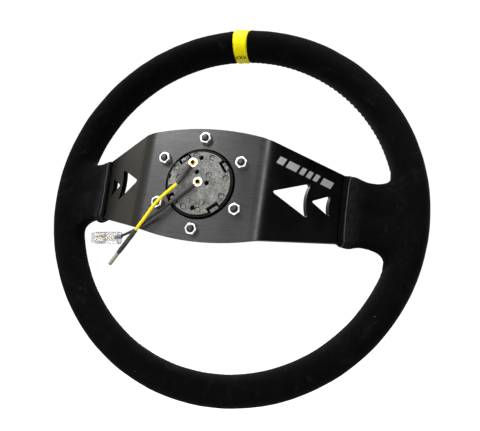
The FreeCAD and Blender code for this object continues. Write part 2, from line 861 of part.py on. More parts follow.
def box(name, length, width, height, corner):
    block = doc.addObject("Part::Box", name)
    block.Length = length
    block.Width = width
    block.Height = height
    block.Placement = Placement(V(*corner), Rotation())
    return block


def make_housing():
    """The black moulded cup: a flange on the ring's front, a wall through the plate, a ledge inside."""
    flange_rear = "plate_rear - plate_thick - ring_thick"
    wall_end = "base_rear - %s" % HOUSING_SET_BACK
    blank = lathe("horn_housing_blank", [("housing_bore_r", wall_end),
                                         ("housing_r", wall_end),
                                         ("housing_r", flange_rear),
                                         ("housing_flange_r", flange_rear),
                                         ("housing_flange_r", flange_rear + " - flange_thick"),
                                         ("housing_bore_r", flange_rear + " - flange_thick"),
                                         ("housing_bore_r", "ledge_front"),
                                         ("ledge_r", "ledge_front"),
                                         ("ledge_r", "ledge_rear"),
                                         ("housing_bore_r", "ledge_rear")])
    del nodes["horn_housing_blank"]
    slots = []
    for index, angle in enumerate(CLIP_ANGLES):
        wide = CLIP_WIDE + CLIP_PLAY
        corner = (CLIP_LEG_R - CLIP_PLAY, SLOT_FRONT, -wide / 2)
        slot = box("clip_slot_%d" % index, CUT_MARGIN, SLOT_LONG, wide, corner)
        slots.append(turned_about(slot, angle))
    drill = doc.addObject("Part::MultiFuse", "clip_slots")
    drill.Shapes = slots
    keep(boolean("Cut", "horn_housing", blank, drill), "horn_housing")


BASE_HOLES = ((0.9, 19.4), (2.7, 8.2), (-6.2, 0.3), (1.6, -19.3))
BASE_HOLE_R = 1.9
STAKES = ((5.1, 21.2), (-7.5, 19.9), (-7.0, 6.7), (-20.2, 5.0), (-18.9, -8.8), (-4.6, -14.8),
          (-2.6, -20.4), (9.2, -18.7), (19.0, 10.8), (16.1, 3.5), (21.2, -5.1))
STAKE_R = 2.1
STAKE_GAP = 0.12
STAKE_SUNK = 0.6
PROUD_STAKE = 5
STAKE_PROUD = 0.35
SIGNAL_EYELET = (6.7, 15.1)
GROUND_EYELET = (0.5, 0.5)


def make_base():
    """The pale base plate at the back of the horn, notched for the clips and drilled for its fixings."""
    body = new_body("horn_base_blank")
    del nodes["horn_base_blank"]
    sketch = new_sketch(body, "base_outline", "XZ_Plane", "0 - base_rear")
    circle(sketch, "base_r")
    for x, z in BASE_HOLES:
        circle(sketch, str(BASE_HOLE_R), str(x), str(z))
    for x, z in STAKES:
        circle(sketch, str(STAKE_R), str(x), str(z))
    for x, z in (SIGNAL_EYELET, GROUND_EYELET):
        circle(sketch, "eyelet_hole_r + 0.35", str(x), str(z))
    pad(body, sketch, "base_thick")
    notches = []
    for index, angle in enumerate(CLIP_ANGLES):
        wide = CLIP_WIDE + 2 * NOTCH_SPARE
        corner = (size("base_r") - CLIP_DEEP, -CUT_MARGIN, -wide / 2)
        notch = box("base_notch_%d" % index, CUT_MARGIN, CUT_MARGIN, wide, corner)
        notches.append(turned_about(notch, angle))
    key = box("base_key", CUT_MARGIN, CUT_MARGIN, KEY_WIDE, (KEY_START, -CUT_MARGIN, -KEY_WIDE / 2))
    notches.append(turned_about(key, KEY_ANGLE))
    cutter = doc.addObject("Part::MultiFuse", "base_notches")
    cutter.Shapes = notches
    keep(boolean("Cut", "horn_base", body, cutter), "horn_base")


def make_stakes():
    """Moulded stakes that hold the base plate, a little below its face but for one that is proud."""
    posts = []
    for index, (x, z) in enumerate(STAKES):
        post = doc.addObject("Part::Cylinder", "stake_%d" % index)
        post.Radius = STAKE_R - STAKE_GAP
        rise = STAKE_PROUD if index == PROUD_STAKE else -STAKE_SUNK
        bind(post, "Height", "base_thick + %s" % rise)
        post.Placement = Placement(V(x, number("base_rear - base_thick"), z), Rotation(V(1, 0, 0), -90))
        posts.append(post)
    group = doc.addObject("Part::Compound", "base_stakes")
    group.Links = posts
    keep(group, "base_stakes")


def make_clips():
    """Four spring-steel clips, bent over the housing's wall in the base plate's notches."""
    clips = []
    for index, angle in enumerate(CLIP_ANGLES):
        name = "clip_%d" % index
        wide = CLIP_WIDE - CLIP_PLAY
        leg = box(name + "_leg", CLIP_SHEET, CLIP_LEG_LONG, wide, (CLIP_LEG_R, CLIP_LEG_FRONT, -wide / 2))
        top_front = CLIP_LEG_FRONT + CLIP_LEG_LONG - CLIP_SHEET
        top_start = CLIP_LEG_R + CLIP_SHEET - CLIP_TOP_LONG
        top = box(name + "_top", CLIP_TOP_LONG, CLIP_SHEET, wide, (top_start, top_front, -wide / 2))
        clip = doc.addObject("Part::MultiFuse", name)
        clip.Shapes = [leg, top]
        clips.append(turned_about(clip, angle))
    group = doc.addObject("Part::Compound", "retaining_clips")
    group.Links = clips
    keep(group, "retaining_clips")


def make_bezel():
    """A turned ring round the housing's flange, with a lip over the cap's."""
    seat = "plate_rear - plate_thick - ring_thick"
    lathe("horn_bezel", [("housing_flange_r + 0.1", seat), ("bezel_outer_r", seat),
                         ("bezel_outer_r", "bezel_front + 2.2"),
                         ("bezel_outer_r - 1.4", "bezel_front + 0.6"),
                         ("bezel_lip_r + 0.8", "bezel_front"),
                         ("bezel_lip_r", "bezel_front + 0.4"),
                         ("bezel_lip_r", "bezel_front + lip_thick"),
                         ("housing_flange_r + 0.1", "bezel_front + lip_thick")])


def make_cap():
    """The moving cap: a shallow dome with a flange that the bezel's lip keeps in."""
    dome = [(0.0, 0.0), (12.0, 0.35), (20.0, 1.1), (25.2, 2.3)]
    profile = [(str(r), "cap_front + %s" % rise) for r, rise in dome]
    profile += [("cap_r", "cap_front + 4"), ("cap_r", "cap_stop"),
                ("cap_flange_r", "cap_stop"), ("cap_flange_r", "cap_stop + cap_flange_thick"),
                ("cap_r - 3", "cap_stop + cap_flange_thick"), ("cap_r - 3", "cap_front + cap_wall + 1"),
                ("post_outer_r", "cap_front + cap_wall"), ("post_outer_r", "contact_front"),
                ("post_inner_r", "contact_front"), ("post_inner_r", "cap_front + cap_wall"),
                ("0", "cap_front + cap_wall")]
    body = lathe("horn_cap", profile)
    recess = new_sketch(body, "badge_seat", "XZ_Plane", "0 - cap_front - badge_seat_depth")
    circle(recess, "badge_r + 0.2")
    pocket(body, recess, "badge_seat_depth + 0.5", reverse=True)
    lathe("cap_badge", [("0", "cap_front - 0.1"), ("badge_r - 0.8", "cap_front + 0.1"),
                        ("badge_r", "cap_front + 0.5"), ("badge_r", "cap_front + badge_seat_depth"),
                        ("0", "cap_front + badge_seat_depth")])


def make_contacts():
    """A steel plate that moves with the cap, and a brass ring on the housing's ledge."""
    lathe("upper_contact", [("contact_hole_r", "contact_front"), ("contact_r", "contact_front"),
                            ("contact_r", "contact_front + contact_thick"),
                            ("contact_hole_r", "contact_front + contact_thick")])
    lathe("lower_contact", [("ledge_ring_r", "ledge_front"), ("ledge_ring_r", "ledge_front + contact_thick"),
                            ("ledge_r - 0.05", "ledge_front + contact_thick"),
                            ("ledge_r - 0.05", "ledge_front"),
                            ("bead_outer_r", "ledge_front"), ("bead_outer_r", "ledge_front - bead_height"),
                            ("bead_inner_r", "ledge_front - bead_height"), ("bead_inner_r", "ledge_front")])


SPRING_TURNS = 4
SPRING_CLEARANCE = 0.02
SPRING_ANGLES = (60, 180, 300)


def make_springs():
    """Three coil springs between the housing's ledge and the cap's flange."""
    coils = []
    wire = size("spring_wire_r")
    start = size("ledge_front") - wire - SPRING_CLEARANCE
    flange = number("cap_stop + cap_flange_thick")
    height = start - flange - wire - SPRING_CLEARANCE * 2.5
    helix = Part.makeHelix(height / SPRING_TURNS, height, size("spring_coil_r"))
    begin = helix.Edges[0].valueAt(helix.Edges[0].FirstParameter)
    section = Part.Wire(Part.makeCircle(wire, begin, V(0, 1, 0.15)))
    coil = Part.Wire(helix.Edges).makePipeShell([section], True, True)
    coil.rotate(V(0, 0, 0), V(1, 0, 0), 90)
    coil.translate(V(0, start, 0))
    for angle in SPRING_ANGLES:
        copy = coil.copy()
        copy.translate(V(size("spring_circle_r"), 0, 0))
        copy.rotate(V(0, 0, 0), V(0, 1, 0), angle)
        coils.append(copy)
    feature("horn_springs", Part.Compound(coils))


# ---------------------------------------------------------------------------------------------
# Terminals and leads
# ---------------------------------------------------------------------------------------------

BOOT_START = 4.0
BOOT_BACK_SHARE = 0.62
BARREL_LIFT = 2.3
NECK_R = 0.7
NECK_START = 3.15
NECK_OVERLAP = 1.4
ROLL_THICK = 0.6
EYELET_WALL = 0.33
SIGNAL_EXIT = V(15.0, 2.6, -3.3)
GROUND_EXIT = V(18.9, 1.2, -18.1)

YELLOW_ROUTE = [SIGNAL_EXIT, V(22.5, 6.5, -13.6), V(28.7, 6.7, -22.2), V(35.6, 5.0, -33.5),
                V(48.5, 0.6, -51.3), V(60.2, -3.0, -67.7)]
BLACK_ROUTE = [GROUND_EXIT, V(25.3, 1.1, -24.6), V(33.1, -0.3, -29.9), V(39.3, -1.2, -36.2),
               V(46.5, -2.4, -41.7), V(55.7, -4.0, -45.8)]
YELLOW_BREAKS = {3: 0.5, 4: 0.1}
PLUG_DIRECTION = V(21.4, -1.5, -2.2)
SPADE_DIRECTION = V(21.3, -1.5, -3.3)
BEND_SHARE = 0.45
LEAD_TOLERANCE = 0.02


def route_pieces(points):
    """The straight runs and tangent arcs of a lead, as one list of edges, with the arcs' radii."""
    edges = []
    radii = []
    last = points[0]
    for before, here, after in zip(points, points[1:], points[2:]):
        back = before - here
        on = after - here
        reach = BEND_SHARE * min(back.Length, on.Length)
        turn = math.pi - back.getAngle(on)
        radius = reach / math.tan(turn / 2)
        back.normalize()
        on.normalize()
        a = here + back * reach
        b = here + on * reach
        bisector = (back + on).normalize()
        middle = here + bisector * (math.hypot(radius, reach) - radius)
        edges.append(Part.makeLine(last, a))
        edges.append(Part.Arc(a, middle, b).toShape())
        radii.append(radius)
        last = b
    edges.append(Part.makeLine(last, points[-1]))
    return edges, radii


def split_route(points, breaks):
    """The route's edges in stretches, cut part of the way along the straight of some of its runs."""
    edges, radii = route_pieces(points)
    stretches = [[]]
    for index, edge in enumerate(edges):
        if index % 2 == 0 and index // 2 in breaks:
            a = edge.Vertexes[0].Point
            b = edge.Vertexes[-1].Point
            cut = a + (b - a) * breaks[index // 2]
            stretches[-1].append(Part.makeLine(a, cut))
            stretches.append([Part.makeLine(cut, b)])
            continue
        stretches[-1].append(edge)
    return stretches, radii


def tube(edges, radius):
    """A round solid along a wire of tangent edges, checked against its section times its length."""
    path = Part.Wire(edges)
    first = edges[0]
    start = first.valueAt(first.FirstParameter)
    section = Part.Wire(Part.makeCircle(radius, start, first.tangentAt(first.FirstParameter)))
    shape = path.makePipeShell([section], True, False, 0)
    expected = math.pi * radius ** 2 * path.Length
    if abs(shape.Volume - expected) > LEAD_TOLERANCE * expected:
        raise RuntimeError("a lead's volume is %.1f, not %.1f" % (shape.Volume, expected))
    return shape, path.Length


def feature(label, shape):
    thing = doc.addObject("Part::Feature", label)
    thing.Shape = shape
    return keep(thing, label)


def make_leads():
    """The two leads; returns the solids that the boots and the plug close round."""
    solids = {}
    parts, radii = split_route(YELLOW_ROUTE, YELLOW_BREAKS)
    report_lead("yellow lead", YELLOW_ROUTE, radii)
    for label, edges, radius in (("yellow_wire", parts[0], size("yellow_r")),
                                 ("end_sleeve", parts[1], size("sleeve_r")),
                                 ("tinned_end", parts[2], size("bare_r"))):
        shape, length = tube(edges, radius)
        feature(label, shape)
        solids.setdefault("signal", shape)
        print("%s is %.1f mm long" % (label, length))
    edges, radii = route_pieces(BLACK_ROUTE)
    report_lead("black lead", BLACK_ROUTE, radii)
    shape, length = tube(edges, size("black_r"))
    feature("black_wire", shape)
    solids["ground"] = shape
    print("black_wire is %.1f mm long" % length)
    return solids


def report_lead(name, points, radii):
    runs = [(b - a).Length for a, b in zip(points, points[1:])]
    print(name, "runs", [round(run, 1) for run in runs], "radii", [round(r) for r in radii])


def make_terminals(leads):
    """Ring-tongue terminals on the eyelets, their barrels inside the insulating boots."""
    ends = (("signal", SIGNAL_EYELET, SIGNAL_EXIT, "yellow_r"),
            ("ground", GROUND_EYELET, GROUND_EXIT, "black_r"))
    eyelets = []
    for name, (x, z), exit_point, wire in ends:
        floor = size("base_rear")
        seat = V(x, floor, z)
        tongue = Part.makeCylinder(size("tongue_r"), size("tongue_thick"), seat, V(0, 1, 0))
        hole = Part.makeCylinder(size("eyelet_hole_r") + 0.4, 4, seat - V(0, 1, 0), V(0, 1, 0))
        inner = seat + V(0, BARREL_LIFT, 0)
        along = (exit_point - inner).normalize()
        barrel_start = inner + along * size("tongue_r")
        barrel = Part.makeCylinder(size("barrel_r"), size("barrel_long"), barrel_start, along)
        flat = V(along.x, 0, along.z).normalize()
        neck_start = seat + flat * NECK_START + V(0, NECK_R, 0)
        neck_end = barrel_start + along * NECK_OVERLAP
        neck = Part.makeCylinder(NECK_R, (neck_end - neck_start).Length, neck_start, neck_end - neck_start)
        terminal = tongue.fuse([neck, barrel]).cut(hole)
        boot_solid = boot(inner + along * BOOT_START, exit_point, size(wire))
        boot_solid = boot_solid.cut(terminal).cut(leads[name])
        feature("terminal_" + name, terminal)
        feature("boot_" + name, boot_solid)
        eyelets.append(eyelet(seat))
    feature("terminal_eyelets", Part.Compound(eyelets))


def boot(start, end, wire_r):
    """An insulating sleeve that narrows towards the lead."""
    along = end - start
    length = along.Length
    radius = size("boot_r")
    back = BOOT_BACK_SHARE * length
    thick = Part.makeCylinder(radius, back, start, along)
    cone_start = start + along * BOOT_BACK_SHARE
    cone = Part.makeCone(radius, wire_r + 0.35, length - back, cone_start, along)
    return thick.fuse(cone)


def eyelet(seat):
    """A hollow rivet through the terminal and the base plate, rolled over at both ends."""
    hole = size("eyelet_hole_r")
    wall = hole + EYELET_WALL
    rim = size("eyelet_rim_r")
    front = -size("base_thick")
    rear = size("tongue_thick")
    profile = [V(hole, front - ROLL_THICK, 0), V(rim, front - ROLL_THICK, 0), V(rim, front, 0),
               V(wall, front, 0), V(wall, rear, 0), V(rim, rear, 0), V(rim, rear + ROLL_THICK / 2, 0),
               V(wall, rear + ROLL_THICK, 0), V(hole, rear + ROLL_THICK, 0)]
    face = Part.Face(Part.makePolygon(profile + [profile[0]]))
    turned = face.revolve(V(0, 0, 0), V(0, 1, 0), 360)
    turned.translate(seat)
    return turned


def plug_frame(direction, aside):
    """Placement at the black lead's end: X along a direction, Y across it, Z through its depth."""
    along = V(direction)
    along.normalize()
    depth = V(0, 1, 0)
    across = along.cross(depth).normalize()
    return Placement(BLACK_ROUTE[-1] + across * aside, Rotation(along, across, depth, "XZY"))


PLUG_WALL = 0.8
PLUG_START = 1.8
PLUG_ASIDE = -1.7
SPADE_ASIDE = -0.7
PLUG_EDGE_R = 1.2
SPADE_SHEET = 0.8
SPADE_FLOOR = -1.5
CRIMP_R = 1.5
CRIMP_LONG = 6.5
NECK_FROM = 6.0
NECK_LONG = 9.2
NECK_WIDE = 3.0
RECEPTACLE_FROM = 14.9
RECEPTACLE_LONG = 8.8
RECEPTACLE_WIDE = 6.2
ROLL_R = 1.15
ROLL_BORE_R = 0.55


def make_plug(lead):
    """A clear housing over a 6.3 mm receptacle, crimped on the black lead."""
    long = size("housing_long")
    wide = size("housing_wide")
    deep = size("housing_deep")
    shell = Part.makeBox(long, wide, deep, V(PLUG_START, -wide / 2, -deep / 2))
    shell = shell.makeFillet(PLUG_EDGE_R, [e for e in shell.Edges if e.BoundBox.XLength > long / 2])
    inside_wide = wide - 2 * PLUG_WALL
    inside_deep = deep - 2 * PLUG_WALL
    corner = V(0.0, -inside_wide / 2, -inside_deep / 2)
    bore = Part.makeBox(long + 2 * PLUG_START, inside_wide, inside_deep, corner)
    shell = shell.cut(bore)
    spade = spade_receptacle()
    for label, shape, direction, aside in (("connector_housing", shell, PLUG_DIRECTION, PLUG_ASIDE),
                                           ("spade_terminal", spade, SPADE_DIRECTION, SPADE_ASIDE)):
        shape.Placement = plug_frame(direction, aside)
        feature(label, shape.cut(lead))


def spade_receptacle():
    """Crimp barrel, neck and the open receptacle with its rolled edges."""
    barrel = Part.makeCylinder(CRIMP_R, CRIMP_LONG, V(0.0, 0, 0), V(1, 0, 0))
    neck = Part.makeBox(NECK_LONG, NECK_WIDE, SPADE_SHEET, V(NECK_FROM, -NECK_WIDE / 2, SPADE_FLOOR))
    corner = V(RECEPTACLE_FROM, -RECEPTACLE_WIDE / 2, SPADE_FLOOR)
    floor = Part.makeBox(RECEPTACLE_LONG, RECEPTACLE_WIDE, SPADE_SHEET, corner)
    parts = barrel.fuse([neck, floor])
    roll_z = SPADE_FLOOR + ROLL_R
    for side in (1, -1):
        roll_y = side * (RECEPTACLE_WIDE / 2 - ROLL_R + 0.3)
        bore_y = side * (RECEPTACLE_WIDE / 2 - ROLL_R)
        roll = Part.makeCylinder(ROLL_R, RECEPTACLE_LONG, V(RECEPTACLE_FROM, roll_y, roll_z), V(1, 0, 0))
        bore_start = V(RECEPTACLE_FROM - 0.2, bore_y, roll_z + 0.3)
        bore = Part.makeCylinder(ROLL_BORE_R, RECEPTACLE_LONG + 0.4, bore_start, V(1, 0, 0))
        parts = parts.fuse(roll).cut(bore)
    return parts


make_spoke_plate()
make_armature()
make_armature_tabs()
make_rivets()
make_foam()
make_skins()
make_piping()
for wing_side in (1, -1):
    make_collar(wing_side)
make_bolt_and_nut()
make_horn_ring()
make_housing()
make_base()
make_stakes()
make_clips()
make_bezel()
make_cap()
make_contacts()
make_springs()
lead_solids = make_leads()
make_terminals(lead_solids)
make_plug(lead_solids["ground"])
doc.recompute()


def export_all():
    """Check every object, then write each piece to its own file."""
    for thing in doc.Objects:
        if "Invalid" in thing.State or "Error" in thing.State:
            raise RuntimeError("%s failed: %s" % (thing.Name, thing.State))
    os.makedirs("parts", exist_ok=True)
    for label, thing in nodes.items():
        shape = thing.Shape
        if shape.isNull() or not shape.isValid():
            raise RuntimeError("%s has no valid shape" % label)
        shape.exportStep("parts/%s.step" % label)
        print("%-22s %2d solids %10.1f mm3" % (label, len(shape.Solids), shape.Volume))


export_all()
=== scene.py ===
"""The looks of a deep-dish suede steering wheel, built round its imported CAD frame.

Frame: +Z up, the wheel's axis along Y, the steering column at +Y. "Right" is +X, which lies on
the left of the main view, taken from the column side. Everything is in metres."""

import math

import bmesh
import bpy
import numpy as np
from mathutils import Euler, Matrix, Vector, noise


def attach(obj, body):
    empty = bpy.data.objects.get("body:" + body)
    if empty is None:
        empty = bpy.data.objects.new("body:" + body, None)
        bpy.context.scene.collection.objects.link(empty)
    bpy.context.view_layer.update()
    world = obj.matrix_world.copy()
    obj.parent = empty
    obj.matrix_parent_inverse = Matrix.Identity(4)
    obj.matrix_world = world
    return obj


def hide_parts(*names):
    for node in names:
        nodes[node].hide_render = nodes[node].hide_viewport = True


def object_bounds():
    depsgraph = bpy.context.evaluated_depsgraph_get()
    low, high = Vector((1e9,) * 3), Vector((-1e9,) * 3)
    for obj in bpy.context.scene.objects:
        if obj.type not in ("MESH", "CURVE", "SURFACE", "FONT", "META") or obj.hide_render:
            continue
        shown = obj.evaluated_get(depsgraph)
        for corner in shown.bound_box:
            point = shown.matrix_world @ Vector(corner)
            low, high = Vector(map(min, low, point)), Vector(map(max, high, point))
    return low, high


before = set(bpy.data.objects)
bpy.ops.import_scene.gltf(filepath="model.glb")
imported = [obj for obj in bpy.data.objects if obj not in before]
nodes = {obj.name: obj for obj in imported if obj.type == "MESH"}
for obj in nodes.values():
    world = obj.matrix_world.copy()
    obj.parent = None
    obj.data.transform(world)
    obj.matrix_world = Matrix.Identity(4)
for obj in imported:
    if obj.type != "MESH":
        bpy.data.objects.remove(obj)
cad_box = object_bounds()

MM = 0.001
WHEEL = "wheel"
scene = bpy.context.scene
scene.view_settings.view_transform = "Standard"
scene.view_settings.look = "None"

# ---------------------------------------------------------------------------------------------
# Camera, light and background
# ---------------------------------------------------------------------------------------------

CAMERA_PLACE = (-0.10171, 0.26071, -0.07336)
CAMERA_TURN = (98.918, -8.355, -166.231)
CAMERA_LENS = 29.091
CAMERA_SHIFT = (0.0154, 0.0262)
FLOOR_BELOW = 0.35
WORLD_STRENGTH = 2.0
# How strong and how warm the thrown light is, from -X (-1) round to +X (1).
WORLD_STOPS = ((-1.0, 0.003, 0.0), (-0.68, 0.006, 0.0), (-0.38, 0.60, 0.0), (0.15, 0.36, 0.0),
               (0.45, 0.72, 0.0), (1.0, 0.38, 0.24))
# The driver's side of the world is dimmed to half; it rises to full between these Y directions.
DRIVER_SIDE_SHARE = 0.5
DRIVER_SIDE_Y = (-0.7, 0.2)
BACKDROP_STRENGTH = 1.05
SENSOR_WIDTH = 36.0
WHITE = (1, 1, 1)
# Name, direction from the hub, distance, width, height, power in watts, colour.
SOFTBOXES = (
    ("key", (0.45, 0.78, 0.55), 1.1, 0.34, 0.44, 4.3, WHITE),
    ("over_camera", (-0.42, 0.86, 0.29), 1.1, 0.22, 0.7, 2.6, WHITE),
    ("top", (0.15, 0.3, 1.0), 1.1, 0.9, 0.5, 10.0, WHITE),
    ("below", (0.1, 0.93, -0.24), 1.1, 1.3, 0.32, 5.5, WHITE),
    ("driver_left", (0.7, -0.9, 0.45), 1.2, 0.7, 0.7, 6.0, (1.0, 0.97, 0.94)),
    ("driver_right", (-0.8, -0.9, 0.2), 1.2, 0.5, 0.7, 3.0, WHITE),
)
FLOOR_REACH = 30.0


def make_camera():
    """The photographer's place: column side, a little below the hub."""
    data = bpy.data.cameras.new("camera")
    data.lens = CAMERA_LENS
    data.sensor_width = SENSOR_WIDTH
    data.shift_x, data.shift_y = CAMERA_SHIFT
    data.clip_start = 0.01
    camera = bpy.data.objects.new("camera", data)
    camera.location = CAMERA_PLACE
    camera.rotation_euler = Euler([math.radians(a) for a in CAMERA_TURN])
    scene.collection.objects.link(camera)
    scene.camera = camera


def make_softbox(name, direction, distance, width, height, power, colour):
    """A rectangular light that faces the hub from a direction."""
    data = bpy.data.lights.new(name, "AREA")
    data.shape = "RECTANGLE"
    data.size = width
    data.size_y = height
    data.energy = power
    data.color = colour
    lamp = bpy.data.objects.new(name, data)
    away = Vector(direction).normalized()
    lamp.location = away * distance
    lamp.rotation_euler = away.to_track_quat("Z", "Y").to_euler()
    lamp.visible_camera = False
    scene.collection.objects.link(lamp)


def make_world():
    """White behind the wheel. The light it throws is dark on the left, bright behind the column."""
    world = bpy.data.worlds.new("studio")
    world.use_nodes = True
    scene.world = world
    tree = world.node_tree
    tree.nodes.clear()
    add = tree.nodes.new
    link = tree.links.new
    out = add("ShaderNodeOutputWorld")
    mix = add("ShaderNodeMixShader")
    seen = add("ShaderNodeBackground")
    seen.inputs["Color"].default_value = (*WHITE, 1)
    seen.inputs["Strength"].default_value = BACKDROP_STRENGTH
    thrown = add("ShaderNodeBackground")
    path = add("ShaderNodeLightPath")
    where = add("ShaderNodeTexCoord")
    split = add("ShaderNodeSeparateXYZ")
    sideways = add("ShaderNodeMapRange")
    sideways.inputs["From Min"].default_value = -1.0
    ramp = add("ShaderNodeValToRGB")
    points = ramp.color_ramp.elements
    while len(points) < len(WORLD_STOPS):
        points.new(0.5)
    for point, (x, strength, warmth) in zip(points, WORLD_STOPS):
        point.position = (x + 1) / 2
        point.color = (strength, strength * (1 - 0.4 * warmth), strength * (1 - warmth), 1)
    fore = add("ShaderNodeMapRange")
    fore.interpolation_type = "SMOOTHSTEP"
    fore.inputs["From Min"].default_value, fore.inputs["From Max"].default_value = DRIVER_SIDE_Y
    fore.inputs["To Min"].default_value = DRIVER_SIDE_SHARE * WORLD_STRENGTH
    fore.inputs["To Max"].default_value = WORLD_STRENGTH
    link(where.outputs["Generated"], split.inputs[0])
    link(split.outputs["X"], sideways.inputs["Value"])
    link(sideways.outputs["Result"], ramp.inputs["Fac"])
    link(ramp.outputs["Color"], thrown.inputs["Color"])
    link(split.outputs["Y"], fore.inputs["Value"])
    link(fore.outputs["Result"], thrown.inputs["Strength"])
    link(path.outputs["Is Camera Ray"], mix.inputs[0])
    link(thrown.outputs[0], mix.inputs[1])
    link(seen.outputs[0], mix.inputs[2])
    link(mix.outputs[0], out.inputs["Surface"])


def make_lights():
    for softbox in SOFTBOXES:
        make_softbox(*softbox)


def make_floor():
    """A level floor far below, as white as the backdrop to the camera."""
    low = cad_box[0][2] - FLOOR_BELOW
    corners = [(x * FLOOR_REACH, y * FLOOR_REACH, low) for x, y in ((-1, -1), (1, -1), (1, 1), (-1, 1))]
    mesh = bpy.data.meshes.new("floor")
    mesh.from_pydata(corners, [], [(0, 1, 2, 3)])
    floor = bpy.data.objects.new("floor", mesh)
    scene.collection.objects.link(floor)
    finish = Finish("floor_white", colour=(0.3, 0.3, 0.3), roughness=0.9)
    finish.set(Emission_Color=(*WHITE, 1))
    seen = finish.add("ShaderNodeLightPath").outputs["Is Camera Ray"]
    finish.drive("Emission Strength", seen)
    mesh.materials.append(finish.material)


# ---------------------------------------------------------------------------------------------
# Procedural finishes
# ---------------------------------------------------------------------------------------------

class Finish:
    """A material whose node tree is built a node at a time, in the row frame's own coordinates."""

    def __init__(self, name, colour=(0.5, 0.5, 0.5), roughness=0.5, metallic=0.0, specular=0.5):
        self.material = bpy.data.materials.new(name)
        self.material.use_nodes = True
        self.tree = self.material.node_tree
        self.shader = self.tree.nodes["Principled BSDF"]
        self.set(Base_Color=(*colour, 1), Roughness=roughness, Metallic=metallic)
        self.set(Specular_IOR_Level=specular)
        self.where = self.add("ShaderNodeTexCoord").outputs["Object"]

    def add(self, kind):
        return self.tree.nodes.new(kind)

    def link(self, a, b):
        self.tree.links.new(a, b)

    def set(self, **values):
        for name, value in values.items():
            self.shader.inputs[name.replace("_", " ")].default_value = value
        return self

    def drive(self, name, output):
        self.link(output, self.shader.inputs[name])
        return self

    def stretched(self, per_mm):
        """Coordinates in cells: how many cells a millimetre holds along X, Y and Z."""
        mapping = self.add("ShaderNodeMapping")
        mapping.inputs["Scale"].default_value = [1000 * n for n in per_mm]
        self.link(self.where, mapping.inputs["Vector"])
        return mapping.outputs[0]

    def noise(self, per_mm, detail=2.0, rough=0.5, distortion=0.0):
        per_mm = per_mm if hasattr(per_mm, "__len__") else (per_mm,) * 3
        node = self.add("ShaderNodeTexNoise")
        node.inputs["Scale"].default_value = 1.0
        node.inputs["Detail"].default_value = detail
        node.inputs["Roughness"].default_value = rough
        node.inputs["Distortion"].default_value = distortion
        self.link(self.stretched(per_mm), node.inputs["Vector"])
        return node.outputs["Fac"]

    def cells(self, per_mm):
        node = self.add("ShaderNodeTexVoronoi")
        node.inputs["Scale"].default_value = 1.0
        self.link(self.stretched((per_mm,) * 3), node.inputs["Vector"])
        return node.outputs["Distance"]

    def edges(self, per_mm):
        node = self.add("ShaderNodeTexVoronoi")
        node.feature = "DISTANCE_TO_EDGE"
        node.inputs["Scale"].default_value = 1.0
        self.link(self.stretched((per_mm,) * 3), node.inputs["Vector"])
        return node.outputs["Distance"]

    def ramp(self, factor, *stops):
        """Colours or greys along a factor: each stop is (place, value)."""
        node = self.add("ShaderNodeValToRGB")
        points = node.color_ramp.elements
        while len(points) < len(stops):
            points.new(0.5)
        for point, (place, value) in zip(points, stops):
            point.position = place
            value = value if hasattr(value, "__len__") else (value,) * 3
            point.color = (*value, 1)
        self.link(factor, node.inputs["Fac"])
        return node.outputs["Color"]

    def blend(self, factor, a, b, kind="MIX"):
        node = self.add("ShaderNodeMix")
        node.data_type = "RGBA"
        node.blend_type = kind
        for value, name in ((factor, "Factor"), (a, "A"), (b, "B")):
            socket = [s for s in node.inputs if s.name == name and s.enabled][0]
            if isinstance(value, bpy.types.NodeSocket):
                self.link(value, socket)
            elif name == "Factor":
                socket.default_value = value
            else:
                value = value if hasattr(value, "__len__") else (value,) * 3
                socket.default_value = (*value, 1)
        return [s for s in node.outputs if s.enabled][0]

    def bump(self, height, strength, millimetres):
        node = self.add("ShaderNodeBump")
        node.inputs["Strength"].default_value = strength
        node.inputs["Distance"].default_value = millimetres * MM
        self.link(height, node.inputs["Height"])
        if self.shader.inputs["Normal"].links:
            self.link(self.shader.inputs["Normal"].links[0].from_socket, node.inputs["Normal"])
        self.link(node.outputs[0], self.shader.inputs["Normal"])
        return self


# Places in metres from the wheel's middle, and how much lighter the suede is there, beside the folded hem.
HEM_LIGHTER_BAND = ((0.1070, 0.0), (0.1085, 1.0), (0.1125, 0.85), (0.1190, 0.0))
# Where the spade terminal's darker, bluish crimp gives way to bare tin, in metres along X.
CRIMP_EDGE = ((0.0608, 1.0), (0.0614, 0.0))


